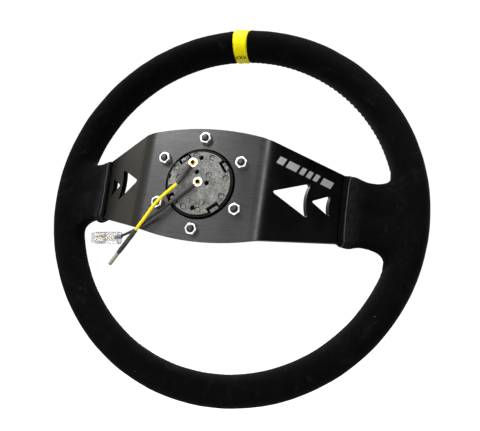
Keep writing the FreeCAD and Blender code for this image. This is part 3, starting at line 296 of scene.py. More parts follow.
def suede(name="suede_black", folded=False):
    """Brushed nap: cloudy patches where it lies the other way, fine fibres and a little lint."""
    f = Finish(name, roughness=0.95, specular=0.08)
    clouds = f.noise(0.075, detail=6.0, rough=0.68, distortion=0.8)
    marks = f.noise(0.30, detail=4.0, rough=0.7, distortion=0.5)
    fibres = f.noise(1.4, detail=3.0, rough=0.7)
    tone = f.ramp(clouds, (0.40, (0.0001, 0.0001, 0.00015)), (0.55, (0.0006, 0.0007, 0.0010)),
                  (0.70, (0.0040, 0.0044, 0.0056)))
    tone = f.blend(0.85, tone, f.ramp(marks, (0.34, 0.25), (0.5, 0.8), (0.66, 2.4)), "MULTIPLY")
    tone = f.blend(0.6, tone, f.ramp(fibres, (0.3, 0.2), (0.75, 1.3)), "MULTIPLY")
    lint = f.ramp(f.cells(0.085), (0.015, 1.0), (0.05, 0.0))
    tone = f.blend(lint, tone, (0.05, 0.05, 0.053))
    if folded:
        split = f.add("ShaderNodeSeparateXYZ")
        f.link(f.where, split.inputs[0])
        across = f.add("ShaderNodeMath")
        across.operation = "ABSOLUTE"
        f.link(split.outputs["X"], across.inputs[0])
        # A band of the suede beside the folded hem is made lighter, in patches.
        hem = f.ramp(across.outputs[0], *HEM_LIGHTER_BAND)
        hem_patches = f.ramp(f.noise(0.55, detail=5.0, rough=0.85), (0.40, 0.0), (0.60, 1.0))
        hem_lighter = f.blend(1.0, hem, hem_patches, "MULTIPLY")
        tone = f.blend(hem_lighter, tone, (0.013, 0.0137, 0.0152))
    f.drive("Base Color", tone)
    f.set(Sheen_Weight=0.011, Sheen_Roughness=0.45, Sheen_Tint=(0.8, 0.85, 0.9, 1))
    f.bump(fibres, 0.5, 0.35)
    f.bump(clouds, 0.25, 0.8)
    return f.material


def yellow_leather():
    """Ribbed yellow leather of the marker band."""
    f = Finish("leather_yellow", roughness=0.42, specular=0.14)
    ribs = f.noise((0.9, 0.08, 0.08), detail=2.0)
    grain = f.noise(1.6, detail=3.0)
    tone = f.ramp(ribs, (0.3, (0.84, 0.72, 0.0)), (0.7, (0.97, 0.88, 0.001)))
    tone = f.blend(0.08, tone, f.ramp(grain, (0.35, 0.5), (0.6, 1.0)), "MULTIPLY")
    f.drive("Base Color", tone)
    f.bump(ribs, 0.6, 0.3)
    f.bump(grain, 0.25, 0.1)
    return f.material


def brushed(name, colour, roughness, metallic=1.0, spread=0.22, low=0.75, specular=0.5):
    """A metal sheet brushed along X, with soft handling marks; it scatters light across the brushing."""
    f = Finish(name, roughness=roughness, metallic=metallic, specular=specular)
    fine = f.noise((0.10, 0.9, 3.6), detail=3.0, rough=0.75)
    broad = f.noise((0.03, 0.3, 0.9), detail=2.0)
    smudge = f.noise(0.045, detail=3.0, rough=0.6)
    dark = [c * low for c in colour]
    light = [c * (1 + spread) for c in colour]
    tone = f.ramp(fine, (0.3, dark), (0.7, light))
    tone = f.blend(0.25, tone, f.ramp(broad, (0.35, 0.6), (0.65, 1.0)), "MULTIPLY")
    f.drive("Base Color", tone)
    rough = f.ramp(smudge, (0.3, roughness - 0.05), (0.7, roughness + 0.08))
    f.drive("Roughness", rough)
    f.set(Anisotropic=0.7)
    across = f.add("ShaderNodeCombineXYZ")
    across.inputs["Z"].default_value = 1.0
    f.drive("Tangent", across.outputs[0])
    f.bump(fine, 0.22, 0.05)
    return f.material


def worn_metal(name, colour, roughness, spots=0.5, scale=1.2, grime=(0.05, 0.05, 0.05)):
    """Plated or bare metal with dull spots and grime in its low places."""
    f = Finish(name, roughness=roughness, metallic=1.0)
    mottle = f.noise(scale, detail=3.0, rough=0.6)
    dull = [c * (1 - spots) + g * spots for c, g in zip(colour, grime)]
    tone = f.ramp(mottle, (0.3, dull), (0.62, colour))
    f.drive("Base Color", tone)
    f.drive("Roughness", f.ramp(mottle, (0.3, min(1.0, roughness + 0.2)), (0.7, roughness)))
    f.bump(mottle, 0.15, 0.08)
    return f.material


def moulded(name, colour, roughness, variation=0.25, grain=2.5, specular=0.4, speckle=0.0):
    """Moulded plastic or rubber with a fine spark-eroded grain."""
    f = Finish(name, roughness=roughness, specular=specular)
    texture = f.noise(grain, detail=2.0)
    cloud = f.noise(0.12, detail=3.0)
    dark = [c * (1 - variation) for c in colour]
    light = [c * (1 + variation) for c in colour]
    tone = f.ramp(cloud, (0.3, dark), (0.7, light))
    if speckle:
        spots = f.ramp(f.noise(1.1, detail=4.0, rough=0.75), (0.36, 0.35), (0.52, 1.0), (0.72, 1.5))
        tone = f.blend(speckle, tone, spots, "MULTIPLY")
    f.drive("Base Color", tone)
    f.drive("Roughness", f.ramp(texture, (0.3, roughness - 0.06), (0.7, roughness + 0.06)))
    f.bump(texture, 0.2, 0.06)
    return f.material


def pressed_board():
    """Grey-beige pressed board: specks, blotches of grime and a few scored lines."""
    f = Finish("base_board", roughness=0.55, specular=0.35)
    blotch = f.noise(0.16, detail=5.0, rough=0.7, distortion=0.4)
    specks = f.noise(1.1, detail=5.0, rough=0.8)
    tone = f.ramp(blotch, (0.36, (0.085, 0.085, 0.080)), (0.5, (0.150, 0.150, 0.140)),
                  (0.66, (0.215, 0.21, 0.195)))
    tone = f.blend(0.9, tone, f.ramp(specks, (0.38, 0.35), (0.5, 0.95), (0.62, 1.7)), "MULTIPLY")
    for scale, share in ((0.20, 0.9), (0.13, 0.8)):
        lines = f.ramp(f.edges(scale), (0.008, 0.35), (0.02, 1.0))
        tone = f.blend(share, tone, lines, "MULTIPLY")
    f.drive("Base Color", tone)
    f.drive("Roughness", f.ramp(specks, (0.3, 0.7), (0.7, 0.4)))
    f.bump(specks, 0.6, 0.15)
    return f.material


def clear_plastic():
    """Thin clear sleeve: its low index stands for two thin walls with air between them."""
    f = Finish("plastic_clear", colour=(0.93, 0.93, 0.96), roughness=0.22)
    f.set(Transmission_Weight=1.0, IOR=1.17)
    flow = f.noise((0.12, 0.5, 0.5), detail=2.0)
    f.drive("Roughness", f.ramp(flow, (0.3, 0.12), (0.7, 0.34)))
    f.bump(flow, 0.3, 0.3)
    return f.material


def crimped_plate():
    """Dull tin plate, darker and bluish where the crimp grips the lead."""
    f = Finish("spade_plate", roughness=0.45, metallic=0.2)
    mottle = f.noise(0.9, detail=4.0, rough=0.75)
    tin = f.ramp(mottle, (0.34, (0.30, 0.27, 0.22)), (0.5, (0.62, 0.58, 0.46)), (0.66, (0.88, 0.84, 0.68)))
    split = f.add("ShaderNodeSeparateXYZ")
    f.link(f.where, split.inputs[0])
    crimp = f.ramp(split.outputs["X"], *CRIMP_EDGE)
    f.drive("Base Color", f.blend(crimp, tin, (0.11, 0.13, 0.18)))
    f.bump(mottle, 0.4, 0.15)
    return f.material


SOOT = (0.004, 0.004, 0.004)
ZINC_GRIME = (0.4, 0.4, 0.38)


def make_finishes():
    """Every finish of the wheel, by slot."""
    return {
        "plate": brushed("aluminium_black_anodised", (0.050, 0.050, 0.050), 0.31),
        "armature": worn_metal("steel_armature", (0.30, 0.30, 0.31), 0.45),
        "rivet": worn_metal("rivet_aluminium", (0.55, 0.55, 0.56), 0.4),
        "foam": moulded("foam_grip", (0.03, 0.03, 0.03), 0.9, grain=1.2),
        "suede": suede(),
        "suede_folded": suede("suede_folded", folded=True),
        "marker": yellow_leather(),
        "piping": moulded("leather_piping", (0.016, 0.016, 0.018), 0.5, grain=1.8),
        "bolt": worn_metal("bolt_oxide", (0.085, 0.085, 0.08), 0.28, spots=1.0, scale=1.1, grime=SOOT),
        "nut": worn_metal("nut_zinc", (0.72, 0.72, 0.70), 0.24, spots=0.2, scale=0.9, grime=ZINC_GRIME),
        "ring": brushed("ring_black", (0.035, 0.035, 0.035), 0.34),
        # The horn housing is black plastic, darkened past plastic's own black as painted shade for the deep
        # gap round the horn base.
        "housing": moulded("housing_black_and_painted_shade", (0.0015, 0.0015, 0.0015), 0.5, specular=0.12),
        "base": pressed_board(),
        "spring_steel": worn_metal("steel_spring", (0.16, 0.16, 0.16), 0.30, spots=1.0, scale=0.5,
                                   grime=SOOT),
        "bezel": moulded("bezel_black", (0.014, 0.014, 0.014), 0.28),
        "cap": moulded("cap_black", (0.012, 0.012, 0.012), 0.5),
        "badge": brushed("badge_aluminium", (0.55, 0.55, 0.56), 0.3),
        "contact_steel": worn_metal("contact_steel", (0.78, 0.78, 0.76), 0.35),
        "brass": worn_metal("brass", (0.78, 0.55, 0.16), 0.3, spots=0.2, grime=(0.3, 0.2, 0.05)),
        "brass_aged": worn_metal("brass_aged", (0.10, 0.07, 0.03), 0.5, spots=0.5, grime=(0.01, 0.01, 0.01)),
        "tinned": worn_metal("tin_plate", (0.84, 0.83, 0.80), 0.27, spots=0.15, grime=ZINC_GRIME),
        "boot": moulded("boot_pvc", (0.055, 0.054, 0.052), 0.5, variation=0.2, grain=1.4),
        "yellow_insulation": moulded("wire_yellow", (0.90, 0.66, 0.0), 0.4, variation=0.05),
        "black_insulation": moulded("wire_black", (0.016, 0.016, 0.016), 0.4),
        "sleeve": moulded("sleeve_shrink", (0.03, 0.028, 0.028), 0.42, variation=0.3, grain=1.1),
        "spade": crimped_plate(),
        "tinned_copper": worn_metal("copper_tinned", (0.50, 0.45, 0.37), 0.5, spots=0.4, scale=1.5),
        "clear_housing": clear_plastic(),
        "print": worn_metal("print_silver", (0.80, 0.80, 0.80), 0.42, spots=0.1),
    }


# ---------------------------------------------------------------------------------------------
# Mesh tools. Shapes are worked out in millimetres and turned into metres when meshed.
# ---------------------------------------------------------------------------------------------

def place(name, mesh, slot, body=WHEEL, finish=None, sharp=35.0):
    """Put a mesh in the scene as a piece of a body, with the finish of its slot."""
    mesh.name = name
    piece = bpy.data.objects.new(name, mesh)
    scene.collection.objects.link(piece)
    mesh.materials.clear()
    mesh.materials.append(finishes[finish or slot])
    if hasattr(mesh, "polygons"):
        mesh.polygons.foreach_set("use_smooth", [True] * len(mesh.polygons))
        mesh.set_sharp_from_angle(angle=math.radians(sharp))
    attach(piece, body)
    return piece


def grid(rows, close_rows, base):
    """Faces of a grid of points whose columns close; the rows close too for a ring."""
    count, width = rows.shape[0], rows.shape[1]
    faces = []
    for i in range(count if close_rows else count - 1):
        k = (i + 1) % count
        for j in range(width):
            n = (j + 1) % width
            here, above = base + i * width, base + k * width
            faces.append((here + j, here + n, above + n, above + j))
    return faces


def surface(name, shells, close_rows=False):
    """One closed mesh from grids of points: rings, or tubes whose two ends are capped."""
    points, faces = [], []
    for rows in shells:
        base = len(points)
        points.extend((rows.reshape(-1, 3) * MM).tolist())
        faces.extend(grid(rows, close_rows, base))
        if not close_rows:
            width = rows.shape[1]
            last = base + (rows.shape[0] - 1) * width
            faces.append(tuple(base + j for j in reversed(range(width))))
            faces.append(tuple(last + j for j in range(width)))
    mesh = bpy.data.meshes.new(name)
    mesh.from_pydata(points, [], faces)
    work = bmesh.new()
    work.from_mesh(mesh)
    bmesh.ops.recalc_face_normals(work, faces=work.faces)
    work.to_mesh(mesh)
    work.free()
    return mesh


def unit(vectors):
    """Vectors of length 1."""
    return vectors / np.linalg.norm(vectors, axis=-1, keepdims=True)


def swept(path, radius, steps=16, closed=False):
    """Rows of a tube along a path; radius is a number or a function of (distance, angles)."""
    path = np.array(path, float)
    if closed:
        tangents = unit(np.roll(path, -1, axis=0) - np.roll(path, 1, axis=0))
    else:
        tangents = unit(np.gradient(path, axis=0))
    distance = np.concatenate([[0], np.cumsum(np.linalg.norm(np.diff(path, axis=0), axis=1))])
    angles = np.linspace(0, 2 * math.pi, steps, endpoint=False)
    side = np.cross(tangents[0], (0.3, 0.2, 1.0))
    rows = []
    for point, tangent, along in zip(path, tangents, distance):
        side = unit(side - tangent * side.dot(tangent))
        up = np.cross(tangent, side)
        r = radius(along, angles) if callable(radius) else np.full(steps, radius)
        rows.append(point + np.outer(r * np.cos(angles), side) + np.outer(r * np.sin(angles), up))
    return np.array(rows)


def stretch(path, start, end, count):
    """Evenly spaced points of a path between two distances along it."""
    distance = np.concatenate([[0], np.cumsum(np.linalg.norm(np.diff(path, axis=0), axis=1))])
    wanted = np.linspace(start, end, count)
    return np.stack([np.interp(wanted, distance, path[:, i]) for i in range(3)], axis=1)


def add_spline(data, points):
    """A smooth line through a lead's route, which starts and ends on its first and last point."""
    spline = data.splines.new("NURBS")
    spline.points.add(len(points) - 1)
    for point, (x, y, z) in zip(spline.points, points):
        point.co = (x * MM, y * MM, z * MM, 1)
        point.radius = MM
    spline.order_u = 3
    spline.use_endpoint_u = True


def make_lead(name, route, diameter, slot):
    """A lead as one smooth curve along its route; returns the piece and its line in millimetres."""
    data = bpy.data.curves.new(name, "CURVE")
    data.dimensions = "3D"
    data.resolution_u = 24
    add_spline(data, route)
    piece = place(name, data, slot)
    bpy.context.view_layer.update()
    line = bpy.data.meshes.new_from_object(piece.evaluated_get(bpy.context.evaluated_depsgraph_get()))
    path = np.array([v.co for v in line.vertices]) / MM
    bpy.data.meshes.remove(line)
    data.bevel_depth = diameter / 2
    data.bevel_resolution = 6
    data.use_fill_caps = True
    return piece, path


def rough(points, reach, height, seed=0.0):
    """A smooth random height for each point, with bumps of a given reach."""
    flat = points.reshape(-1, 3) / reach + seed
    values = [noise.noise(Vector(p)) for p in flat]
    return height * np.array(values).reshape(points.shape[:-1])


def soften_edges(node, millimetres, segments=2, angle=30.0):
    """Round a CAD node's sharp edges without touching its mesh."""
    bevel = nodes[node].modifiers.new("edges", "BEVEL")
    bevel.width = millimetres * MM
    bevel.segments = segments
    bevel.limit_method = "ANGLE"
    bevel.angle_limit = math.radians(angle)
    bevel.harden_normals = True


def dress(node, slot):
    """Give a CAD node its finish."""
    mesh = nodes[node].data
    mesh.materials.clear()
    mesh.materials.append(finishes[slot])


# ---------------------------------------------------------------------------------------------
# Rim: suede sleeves, seam and marker band
# ---------------------------------------------------------------------------------------------

RIM_R = 160.0
RIM_Y = -72.0
GRIP_WIDE = 13.0
GRIP_DEEP = 16.4
SKIN = 1.0
MARKER_START = 86.05
MARKER_END = 90.95
SEAM_AT = math.radians(207)
SEAM_RADIUS = 14.5
COLUMNS = 96
STITCH_EVERY = 2.0
STITCH_R = 0.27
# Degrees kept clear of stitches: either side of each collar, and of the marker's middle.
COLLAR_CLEAR = 17
MARKER_CLEAR = 3.4
MARKER_MIDDLE = 88.4
MARKER_SEAM_AT = math.radians(168)
MARKER_STITCH_R = 0.29


def hump(along, place_at, reach):
    """A smooth bump of height 1 at a place, falling away on both sides."""
    return np.exp(-((along - place_at) / reach) ** 2)


def on_rim(theta, phi, rise=0.0):
    """Points on the grip: theta round the wheel from +X, phi round the grip from its outside."""
    theta, phi, rise = np.broadcast_arrays(theta, phi, rise)
    reach = RIM_R + GRIP_WIDE * np.cos(phi)
    y = RIM_Y + GRIP_DEEP * np.sin(phi)
    square = np.stack([np.cos(phi) / GRIP_WIDE, np.sin(phi) / GRIP_DEEP], axis=-1)
    square = unit(square)
    reach = reach + rise * square[..., 0]
    y = y + rise * square[..., 1]
    return np.stack([reach * np.cos(theta), y, reach * np.sin(theta)], axis=-1)


def sleeve(name, slot, start, end, roll, height, per_degree=1.0):
    """A hollow sleeve round the grip; roll(distance from each end) and height(points, ...) shape it."""
    count = int((end - start) * per_degree) + 2
    theta = np.radians(np.linspace(start, end, count))
    edge = np.radians([0.02, 0.12, 0.3, 0.55])
    theta = np.unique(np.concatenate([theta, theta[0] + edge, theta[-1] - edge]))
    phi = np.linspace(0, 2 * math.pi, COLUMNS, endpoint=False)
    turn, section = np.meshgrid(theta, phi, indexing="ij")
    bare = on_rim(turn, section)
    rise = height(bare, turn, section) + roll(turn - theta[0], theta[-1] - turn)
    outer = on_rim(turn, section, rise)
    inner = on_rim(turn, section, -SKIN)[::-1]
    return place(name, surface(name, [np.concatenate([outer, inner])], close_rows=True), slot)


def tuck(first, last):
    """How a sleeve's ends sink beside the marker: distances from each end are angles round the rim."""
    def height(from_start, from_end):
        total = np.zeros_like(from_start)
        for wanted, away in ((first, from_start), (last, from_end)):
            if wanted:
                mm = away * RIM_R
                total += -0.9 * hump(mm, 0.0, 0.7) + 0.3 * hump(mm, 3.2, 1.8)
        return total
    return height


def suede_height(points, turn, section):
    """The suede dips into its seam, rises beside it and is a little uneven all over."""
    seam = np.angle(np.exp(1j * (section - SEAM_AT))) * SEAM_RADIUS
    groove = -0.75 * hump(seam, 0.0, 0.55) + 0.22 * hump(np.abs(seam), 1.9, 1.1)
    return groove + rough(points, 16.0, 0.22) + rough(points, 6.0, 0.08, 40.0)


def marker_height(points, turn, section):
    """Fine ribs run round the grip, on a band that stands a little proud of the suede."""
    ribs = 0.10 * np.sin(turn * RIM_R * 2.4 + 1.5 * np.sin(section * 2)) + rough(points, 3.0, 0.12, 9.0)
    return 0.55 + ribs


def make_stitches():
    """Thread crossing the seam round the inside of the grip, one stitch every few millimetres."""
    shells = []
    for degree in np.arange(0, 360, STITCH_EVERY):
        by_collar = abs(math.remainder(degree, 180)) < COLLAR_CLEAR
        if by_collar or abs(degree - MARKER_MIDDLE) < MARKER_CLEAR:
            continue
        theta = math.radians(degree)
        lean = np.linspace(-1, 1, 7)
        line = on_rim(theta + 0.0045 * lean, SEAM_AT + 0.12 * lean, 0.15 + 0.25 * (1 - lean ** 2))
        shells.append(swept(line, STITCH_R, 8))
    return place("seam_stitches", surface("seam_stitches", shells), "piping")


def make_marker_stitches():
    """Short dark stitches that close the marker band on the inside of the grip."""
    shells = []
    for lean in (-1, 1):
        for k in range(3):
            middle = math.radians(MARKER_START + 0.95 + 1.5 * k)
            span = np.linspace(-1, 1, 7)
            line = on_rim(middle + 0.0088 * span * lean, MARKER_SEAM_AT + 0.11 * span,
                          0.75 + 0.3 * (1 - span ** 2))
            shells.append(swept(line, MARKER_STITCH_R, 8))
    return place("marker_stitches", surface("marker_stitches", shells), "piping")


# ---------------------------------------------------------------------------------------------
# Spoke collars
# ---------------------------------------------------------------------------------------------

BEND_X = 48.0
PLATE_REAR = -4.0
PLATE_THICK = 4.0
WING = math.radians(37.2)
COLLAR_X = 103.5
COLLAR_HALF = 27.3
COLLAR_COVER = 2.0
COLLAR_CORNER = 2.6
COLLAR_RISE = PLATE_THICK / 2 + COLLAR_COVER
# How far round the wheel and round the grip a collar lands, and how square its landing is.
COLLAR_THETA = math.radians(18.5)
COLLAR_PHI = math.radians(66)
LANDING_SQUARE = 0.93
LANDING_RISE = 0.12
# Each side is sewn a little differently: the hem's slant, the landing's reach and the extra
# swell, below and above the wing's middle.
COLLAR_SIDES = {
    1: {"askew": 0.115, "reach": (1.15, 0.93), "swell": (2.2, -1.3)},
    -1: {"askew": 0.0, "reach": (0.975, 0.97), "swell": (1.0, 0.0)},
}
# Distances of the rows near the hem, in millimetres; the bead is sewn on at one of them.
NEAR_HEM = (0.0, 0.25, 0.6, 1.1, 1.7, 2.3, 2.8, 3.2, 3.6, 4.0, 4.5, 5.2, 6.2, 7.5, 9.0)
BEAD_AT = 3.6
BEAD_R = 0.62
BEAD_STITCH = 1.6
BEAD_ROWS = 420
FAR_ROWS = 18
LINING_DEPTH = 1.7
# Padding over the rivet heads on the driver's side.
FRONT_PAD = 2.6


def collar_start():
    """The hem's loop round the wing: rises from the sheet's middle, and heights up the wing."""
    straight = COLLAR_HALF - COLLAR_CORNER
    flat = COLLAR_RISE - COLLAR_CORNER
    loop = [(COLLAR_RISE, z) for z in np.linspace(-straight, straight, 25)]
    for a in np.radians(np.linspace(12, 78, 6)):
        loop.append((flat + COLLAR_CORNER * math.cos(a), straight + COLLAR_CORNER * math.sin(a)))
    loop += [(n, COLLAR_HALF) for n in np.linspace(flat, -flat, 4)]
    return np.array(loop + [(-n, -z) for n, z in loop]).T


def landing_turns(n, z):
    """Where each point of the hem's loop lands, as a turn round the collar's middle line."""
    up = LANDING_SQUARE * z / COLLAR_HALF
    lean = np.arctan2(up, n / COLLAR_RISE * math.sqrt(1 - LANDING_SQUARE ** 2))
    on_flat = np.abs(np.abs(n) - COLLAR_RISE) < 1e-6
    return np.where(on_flat, np.where(n > 0, np.arcsin(up), math.pi - np.arcsin(up)), lean)


def eased(t, start, leave, end, arrive):
    """A point of the smooth curve that leaves start and arrives at end in given directions."""
    h00, h10 = 2 * t ** 3 - 3 * t ** 2 + 1, t ** 3 - 2 * t ** 2 + t
    h01, h11 = 3 * t ** 2 - 2 * t ** 3, t ** 3 - t ** 2
    return h00 * start + h10 * leave + h01 * end + h11 * arrive


def collar_puff(far, n, z, upright, extra):
    """How far the suede stands off its plain curve, at a distance from the hem."""
    puff = -0.7 * hump(far, 0.0, 0.5) - 0.45 * hump(far, BEAD_AT, 0.7) + 0.55 * hump(far, 7.5, 3.0)
    swell = 1.3 + np.where(z < 0, extra[0], np.where(z > 0, extra[1], 0.0))[:, None]
    puff += upright * swell * hump(far, 7.0, 5.5)
    return puff + FRONT_PAD * (n < 0)[:, None] * (1 - upright) * hump(far, 24.0, 13.0)


def collar(side):
    """A suede gusset from the wing to the grip, hemmed on the wing and blended into the rim."""
    sewn = COLLAR_SIDES[side]
    n, z = collar_start()
    hem_x = COLLAR_X + sewn["askew"] * z
    rear_y = PLATE_REAR - (hem_x - BEND_X) * math.tan(WING)
    rise = n - PLATE_THICK / 2
    start = np.stack([hem_x + rise * math.sin(WING), rear_y + rise * math.cos(WING), z], axis=1)
    away = np.array([math.cos(WING), -math.sin(WING), 0.0])
    square = np.array([math.sin(WING), math.cos(WING), 0.0])
    lean = landing_turns(n, z)
    reach = np.where(z < 0, *sewn["reach"])

    def landing(spread, rise):
        theta = spread * COLLAR_THETA * reach * np.sin(lean)
        phi = math.pi - spread * COLLAR_PHI * np.cos(lean)
        return on_rim(theta, phi, rise)

    end = landing(1.0, LANDING_RISE)
    arrive = unit(landing(1.04, LANDING_RISE) - end)
    chord = np.linalg.norm(end - start, axis=1)
    outwards = unit(np.stack([n / COLLAR_RISE * 0.9, z / COLLAR_HALF], axis=1) ** 5)
    outwards = outwards[:, :1] * square + outwards[:, 1:] * np.array([0, 0, 1.0])
    upright = (np.abs(np.sin(lean)) ** 6)[:, None]
    pull = chord[:, None] * (1.0 + 0.55 * upright)
    begin = NEAR_HEM[-1] / chord
    shares = [far / chord for far in NEAR_HEM]
    shares += [begin + (1 - begin) * step / FAR_ROWS for step in range(1, FAR_ROWS + 1)]
    rows = []
    for share in shares:
        point = eased(share[:, None], start, pull * away, end, pull * arrive)
        puff = collar_puff((share * chord)[:, None], n, z, upright, sewn["swell"])
        rows.append(point + puff * outwards)
    rows = np.array(rows)
    fade = np.sin(math.pi * np.linspace(0, 1, len(rows))[:, None]) ** 0.5
    bumps = (rough(rows, 9.0, 0.35, 3.0 + side) + rough(rows, 3.5, 0.14, 7.0)) * fade
    rows = rows + bumps[..., None] * outwards
    bead = rows[NEAR_HEM.index(BEAD_AT)] + 0.35 * outwards
    under = [landing(1.05, -0.25), landing(1.10, -0.8), landing(0.96, -1.6)]
    lining = rows[-2:9:-3] - LINING_DEPTH * outwards
    inside = start - (COLLAR_COVER - 0.15) * outwards
    rows = np.concatenate([rows, under, lining, [inside]])
    flip = np.array([side, 1, 1])
    name = "collar_right" if side > 0 else "collar_left"
    piece = place(name, surface(name, [rows * flip], close_rows=True), "suede", finish="suede_folded")
    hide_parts("spoke_collar_right" if side > 0 else "spoke_collar_left")
    return bead * flip


def make_piping(beads):
    """The stitched bead round each collar's hem, pinched by every stitch."""
    def thread(s, a):
        return np.full(len(a), BEAD_R + 0.10 * math.cos(s * 2 * math.pi / BEAD_STITCH))

    shells = []
    for bead in beads:
        ring = np.concatenate([bead, bead[:1]])
        length = np.linalg.norm(np.diff(ring, axis=0), axis=1).sum()
        fine = stretch(ring, 0, length, BEAD_ROWS + 1)[:-1]
        shells.append(swept(fine, thread, 10, closed=True))
    piece = place("hem_beads", surface("hem_beads", shells, close_rows=True), "piping")
    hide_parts("collar_piping")


# ---------------------------------------------------------------------------------------------
# Hub bolts and nuts
# ---------------------------------------------------------------------------------------------

BOLT_CIRCLE = 35.0
NUT_TURNS = (8.0, 41.0, 22.0, 3.0, 30.0, 14.0)
AROUND = 48
NUT_ACROSS = 8.0
NUT_CHAMFER_R = 4.15
NUT_REAR = -4.0
KEY_ACROSS = 3.0
HEAD_FACE = -14.0
THREAD_PITCH = 0.8
THREAD_R = 2.42
THREAD_DEPTH = 0.34


def hexagon(across, turn):
    """Radius of a hexagon with a given width, at each step round it."""
    angles = np.linspace(0, 2 * math.pi, AROUND, endpoint=False)
    folded = (angles - math.radians(turn)) % (math.pi / 3) - math.pi / 6
    return angles, across / 2 / np.cos(folded)


def turned(profile, centre):
    """Rows of a turned shape about Y: each entry is (radius or radii, y or ys)."""
    angles = np.linspace(0, 2 * math.pi, AROUND, endpoint=False)
    rows = []
    for radius, y in profile:
        r = np.broadcast_to(radius, AROUND)
        h = np.broadcast_to(y, AROUND)
        row = (centre[0] + r * np.cos(angles), centre[1] + h, centre[2] + r * np.sin(angles))
        rows.append(np.stack(row, axis=1))
    return np.array(rows)


def nut(centre, turn):
    """A plain hexagon nut, chamfered on both faces, with a countersunk bore."""
    _, edge = hexagon(NUT_ACROSS, turn)
    fall = (edge - NUT_CHAMFER_R) * math.tan(math.radians(30))
    fall = np.clip(fall, 0.0, None) + 0.05
    profile = [(2.45, NUT_REAR), (2.9, NUT_REAR), (3.8, NUT_REAR), (edge - 0.03, NUT_REAR + fall * 0.6),
               (edge, NUT_REAR + 0.1 + fall * 0.6), (edge, -0.1 - fall), (edge - 0.06, -fall),
               (3.75, 0.0), (3.05, 0.0), (2.8, -0.12), (2.4, -0.55)]
    return turned(profile, centre)


def thread(y, lead):
    """Radii of an M5 thread at one height."""
    angles = np.linspace(0, 1, AROUND, endpoint=False)
    place_in = (y / THREAD_PITCH + angles + lead) % 1.0
    return THREAD_R - THREAD_DEPTH * np.abs(2 * place_in - 1)


def bolt(centre, lead):
    """A countersunk socket bolt from the driver's side, its threaded end through the nut."""
    head = HEAD_FACE
    _, key = hexagon(KEY_ACROSS, 20.0 * lead)
    profile = [(0.02, head + 2.0), (key * 0.97, head + 1.9), (key, head + 1.8), (key, head + 0.15),
               (key + 0.15, head), (4.3, head), (4.55, head + 0.12), (4.6, head + 0.35),
               (2.3, head + 2.6), (2.25, -5.5)]
    profile += [(thread(y, lead), y) for y in np.arange(-5.2, 1.55, 0.11)]
    profile += [(2.12, 1.62), (1.95, 1.86), (1.6, 2.0), (0.9, 1.98), (0.02, 1.97)]
    return turned(profile, centre)


def make_bolts_and_nuts():
    """Six bolts and six nuts on the circle, each turned a little differently, as they stopped."""
    nuts, bolts = [], []
    for index, turn in enumerate(NUT_TURNS):
        angle = math.radians(90 + 60 * index)
        centre = (BOLT_CIRCLE * math.cos(angle), 0.0, BOLT_CIRCLE * math.sin(angle))
        nuts.append(nut(centre, turn))
        bolts.append(bolt(centre, 0.17 * index))
    piece = place("bolt_set", surface("bolt_set", bolts), "bolt", sharp=50)
    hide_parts("hub_bolts")
    piece = place("nut_set", surface("nut_set", nuts, close_rows=True), "nut", sharp=24)
    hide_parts("hub_nuts")


# ---------------------------------------------------------------------------------------------
# Leads and boots, with the yellow lead's sleeve and bare tip
# ---------------------------------------------------------------------------------------------

YELLOW_ROUTE = [(15.0, 2.6, -3.3), (22.5, 6.5, -13.6), (28.7, 6.7, -22.2), (35.6, 5.0, -33.5),
                (48.5, 0.6, -51.3), (60.2, -3.0, -67.7)]
BLACK_ROUTE = [(18.9, 1.2, -18.1), (25.3, 1.1, -24.6), (33.1, -0.3, -29.9), (39.3, -1.2, -36.2),
               (46.5, -2.4, -41.7), (55.7, -4.0, -45.8)]
YELLOW_LENGTH = 80.2
YELLOW_D = 2.5
BLACK_D = 2.0
SLEEVE_FROM = 46.4
SLEEVE_TO = 70.0
TIP_FROM = 69.4
TIP_TO = 81.3
SIGNAL_EYELET = (6.7, -1.5, 15.1)
GROUND_EYELET = (0.5, -1.5, 0.5)
BARREL_LIFT = 2.3
BOOT_START = 3.4
BOOT_R = 2.2
BOOT_BOW = 0.25
SLEEVE_R = 1.72
SLEEVE_RIB_EVERY = 0.9
STRAND_R = 1.29


def shrink_sleeve(path):
    """A shrunk sleeve over the yellow lead's end, drawn in at both ends and finely ribbed."""
    line = stretch(path, SLEEVE_FROM, SLEEVE_TO, 120)
    length = SLEEVE_TO - SLEEVE_FROM

    def radius(s, a):
        ends = 0.25 * math.exp(-s / 0.8) + 0.35 * math.exp(-(length - s) / 1.6)
        ribs = 0.05 * math.sin(s * 2 * math.pi / SLEEVE_RIB_EVERY)
        return np.full(len(a), SLEEVE_R - ends + ribs) + 0.05 * np.sin(3 * a + s * 0.7)

    piece = place("sleeve_shrunk", surface("sleeve_shrunk", [swept(line, radius, 20)]), "sleeve")
    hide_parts("end_sleeve")
    return piece


def bare_tip(path):
    """Twisted, tinned strands at the yellow lead's end."""
    line = stretch(path, TIP_FROM, YELLOW_LENGTH, 60)
    tail = line[-1] + unit(line[-1] - line[-3]) * np.linspace(0.1, TIP_TO - YELLOW_LENGTH, 3)[:, None]
    line = np.concatenate([line, tail])
    length = TIP_TO - TIP_FROM

    def radius(s, a):
        strands = 0.16 * np.abs(np.sin(3.5 * (a + s * 0.75)))
        return STRAND_R + strands - 0.45 * math.exp(-(length - s) / 0.30)

    mesh = surface("tip_strands", [swept(line, radius, 42)])
    piece = place("tip_strands", mesh, "tinned_copper", sharp=60)
    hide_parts("tinned_end")
    return piece


